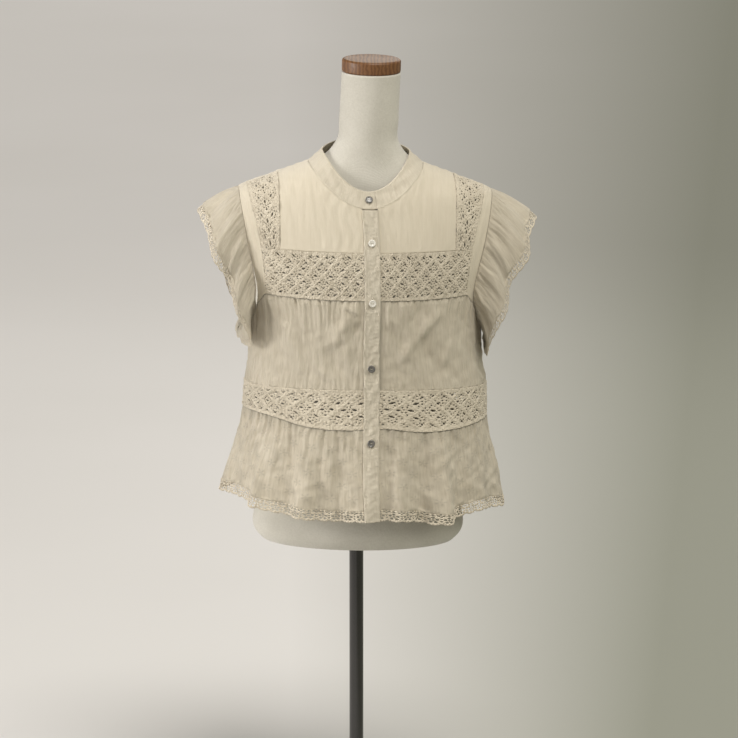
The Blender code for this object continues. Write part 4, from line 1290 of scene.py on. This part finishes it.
RUFFLES = (
    (0.07, 4, 0.022), (0.15, -5, 0.026), (0.225, 7, 0.028), (0.3, -9, 0.03), (0.375, 9, 0.028),
    (0.445, -6, 0.022), (0.5, 6, 0.022), (0.555, -6, 0.022), (0.615, 8, 0.026), (0.685, -6, 0.028),
    (0.76, 6, 0.028), (0.84, -6, 0.028), (0.925, 4, 0.024),
)
SLEEVE_CLOTH = 0.82
SLEEVE_GAP = 0.0012


def sleeve(side, sign):
    """The ruffle by its turn round the armhole and its share of the way out, from the stations' reach.

    A point lies on the armhole seam, plus its share of the reach outwards, forwards and down, plus an arch
    and waves that push it off the straight line.
    """
    stations = SLEEVE_STATIONS[side]

    def place(u, s):
        turn = SLEEVE_GAP + u * (1 - 2 * SLEEVE_GAP)
        height = UNDERARM + (SHOULDER_END - UNDERARM) * (1 - np.cos(2 * math.pi * turn)) / 2
        angle = np.arcsin(np.clip(armhole(height) / half_width(height), 0.0, 1.0))
        seam = skin(np.where(turn < 0.5, angle, math.pi - angle), height)
        reach = np.stack([
            smooth(turn, stations, 1), -smooth(turn, stations, 2), -smooth(turn, stations, 3),
        ], axis=-1)
        away = reach / np.linalg.norm(reach, axis=-1)[:, None]
        wave = 0.0
        for centre, rise, width in RUFFLES:
            wave = wave + rise * bell(turn - centre, width)
        facing = np.where(turn < 0.5, -1.0, 1.0) * np.abs(np.sin(2 * math.pi * turn))
        push = np.stack([0.55 + 0 * turn, 0.8 * facing, 0.35 + 0 * turn], axis=-1)
        arch = 7.0 * np.sin(math.pi * np.clip(s, 0, 1))
        over_body = 4.2 * rise_in((430.0 - height) / 60.0) * rise_in(s / 0.14)
        off_line = over_body + arch + wave * rise_in(s)
        point = seam + 0.7 * away + reach * s[:, None] + push * off_line[:, None]
        point[:, 0] *= sign
        return point

    return place


def sleeve_lift(u, v, x, y):
    """Gathers at the armhole seam, and crinkles that run from the seam to the edge."""
    top = bell(v * 60.0, 34.0) * rise_in(v / 0.05)
    broad = 2.4 * ripples(x, 0.3 * y, 24.0, 140.0, 52) + 0.3 * ripples(x, y, 6.0, 80.0, 53)
    return 1.1 * pleats(x, y, 8.0, 90.0, 51) * top + broad * rise_in(v / 0.3)


for side, sign in SIDES:
    whole = sleeve(side, sign)

    def ruffle(u, v, whole=whole):
        return whole(u, v * SLEEVE_CLOTH)

    def ruffle_edge(u, v, whole=whole):
        return whole(u, 1.0 - (1.0 - SLEEVE_CLOTH) * v)

    fabric = cloth(
        f"gauze_sleeve_{side}", ruffle, (520.0, 62.0), 1.6, gauze, f"sleeve_{side}", sleeve_lift,
        flip=sign > 0,
    )
    trim = cloth(
        f"eyelet_sleeve_{side}", ruffle_edge, (558.0, 13.0), 0.8, crochet,
        f"sleeve_lace_{side}", pattern=edging(13.0, 12.0), relief=0.5, wall=LACE_THREAD, flip=sign < 0,
    )
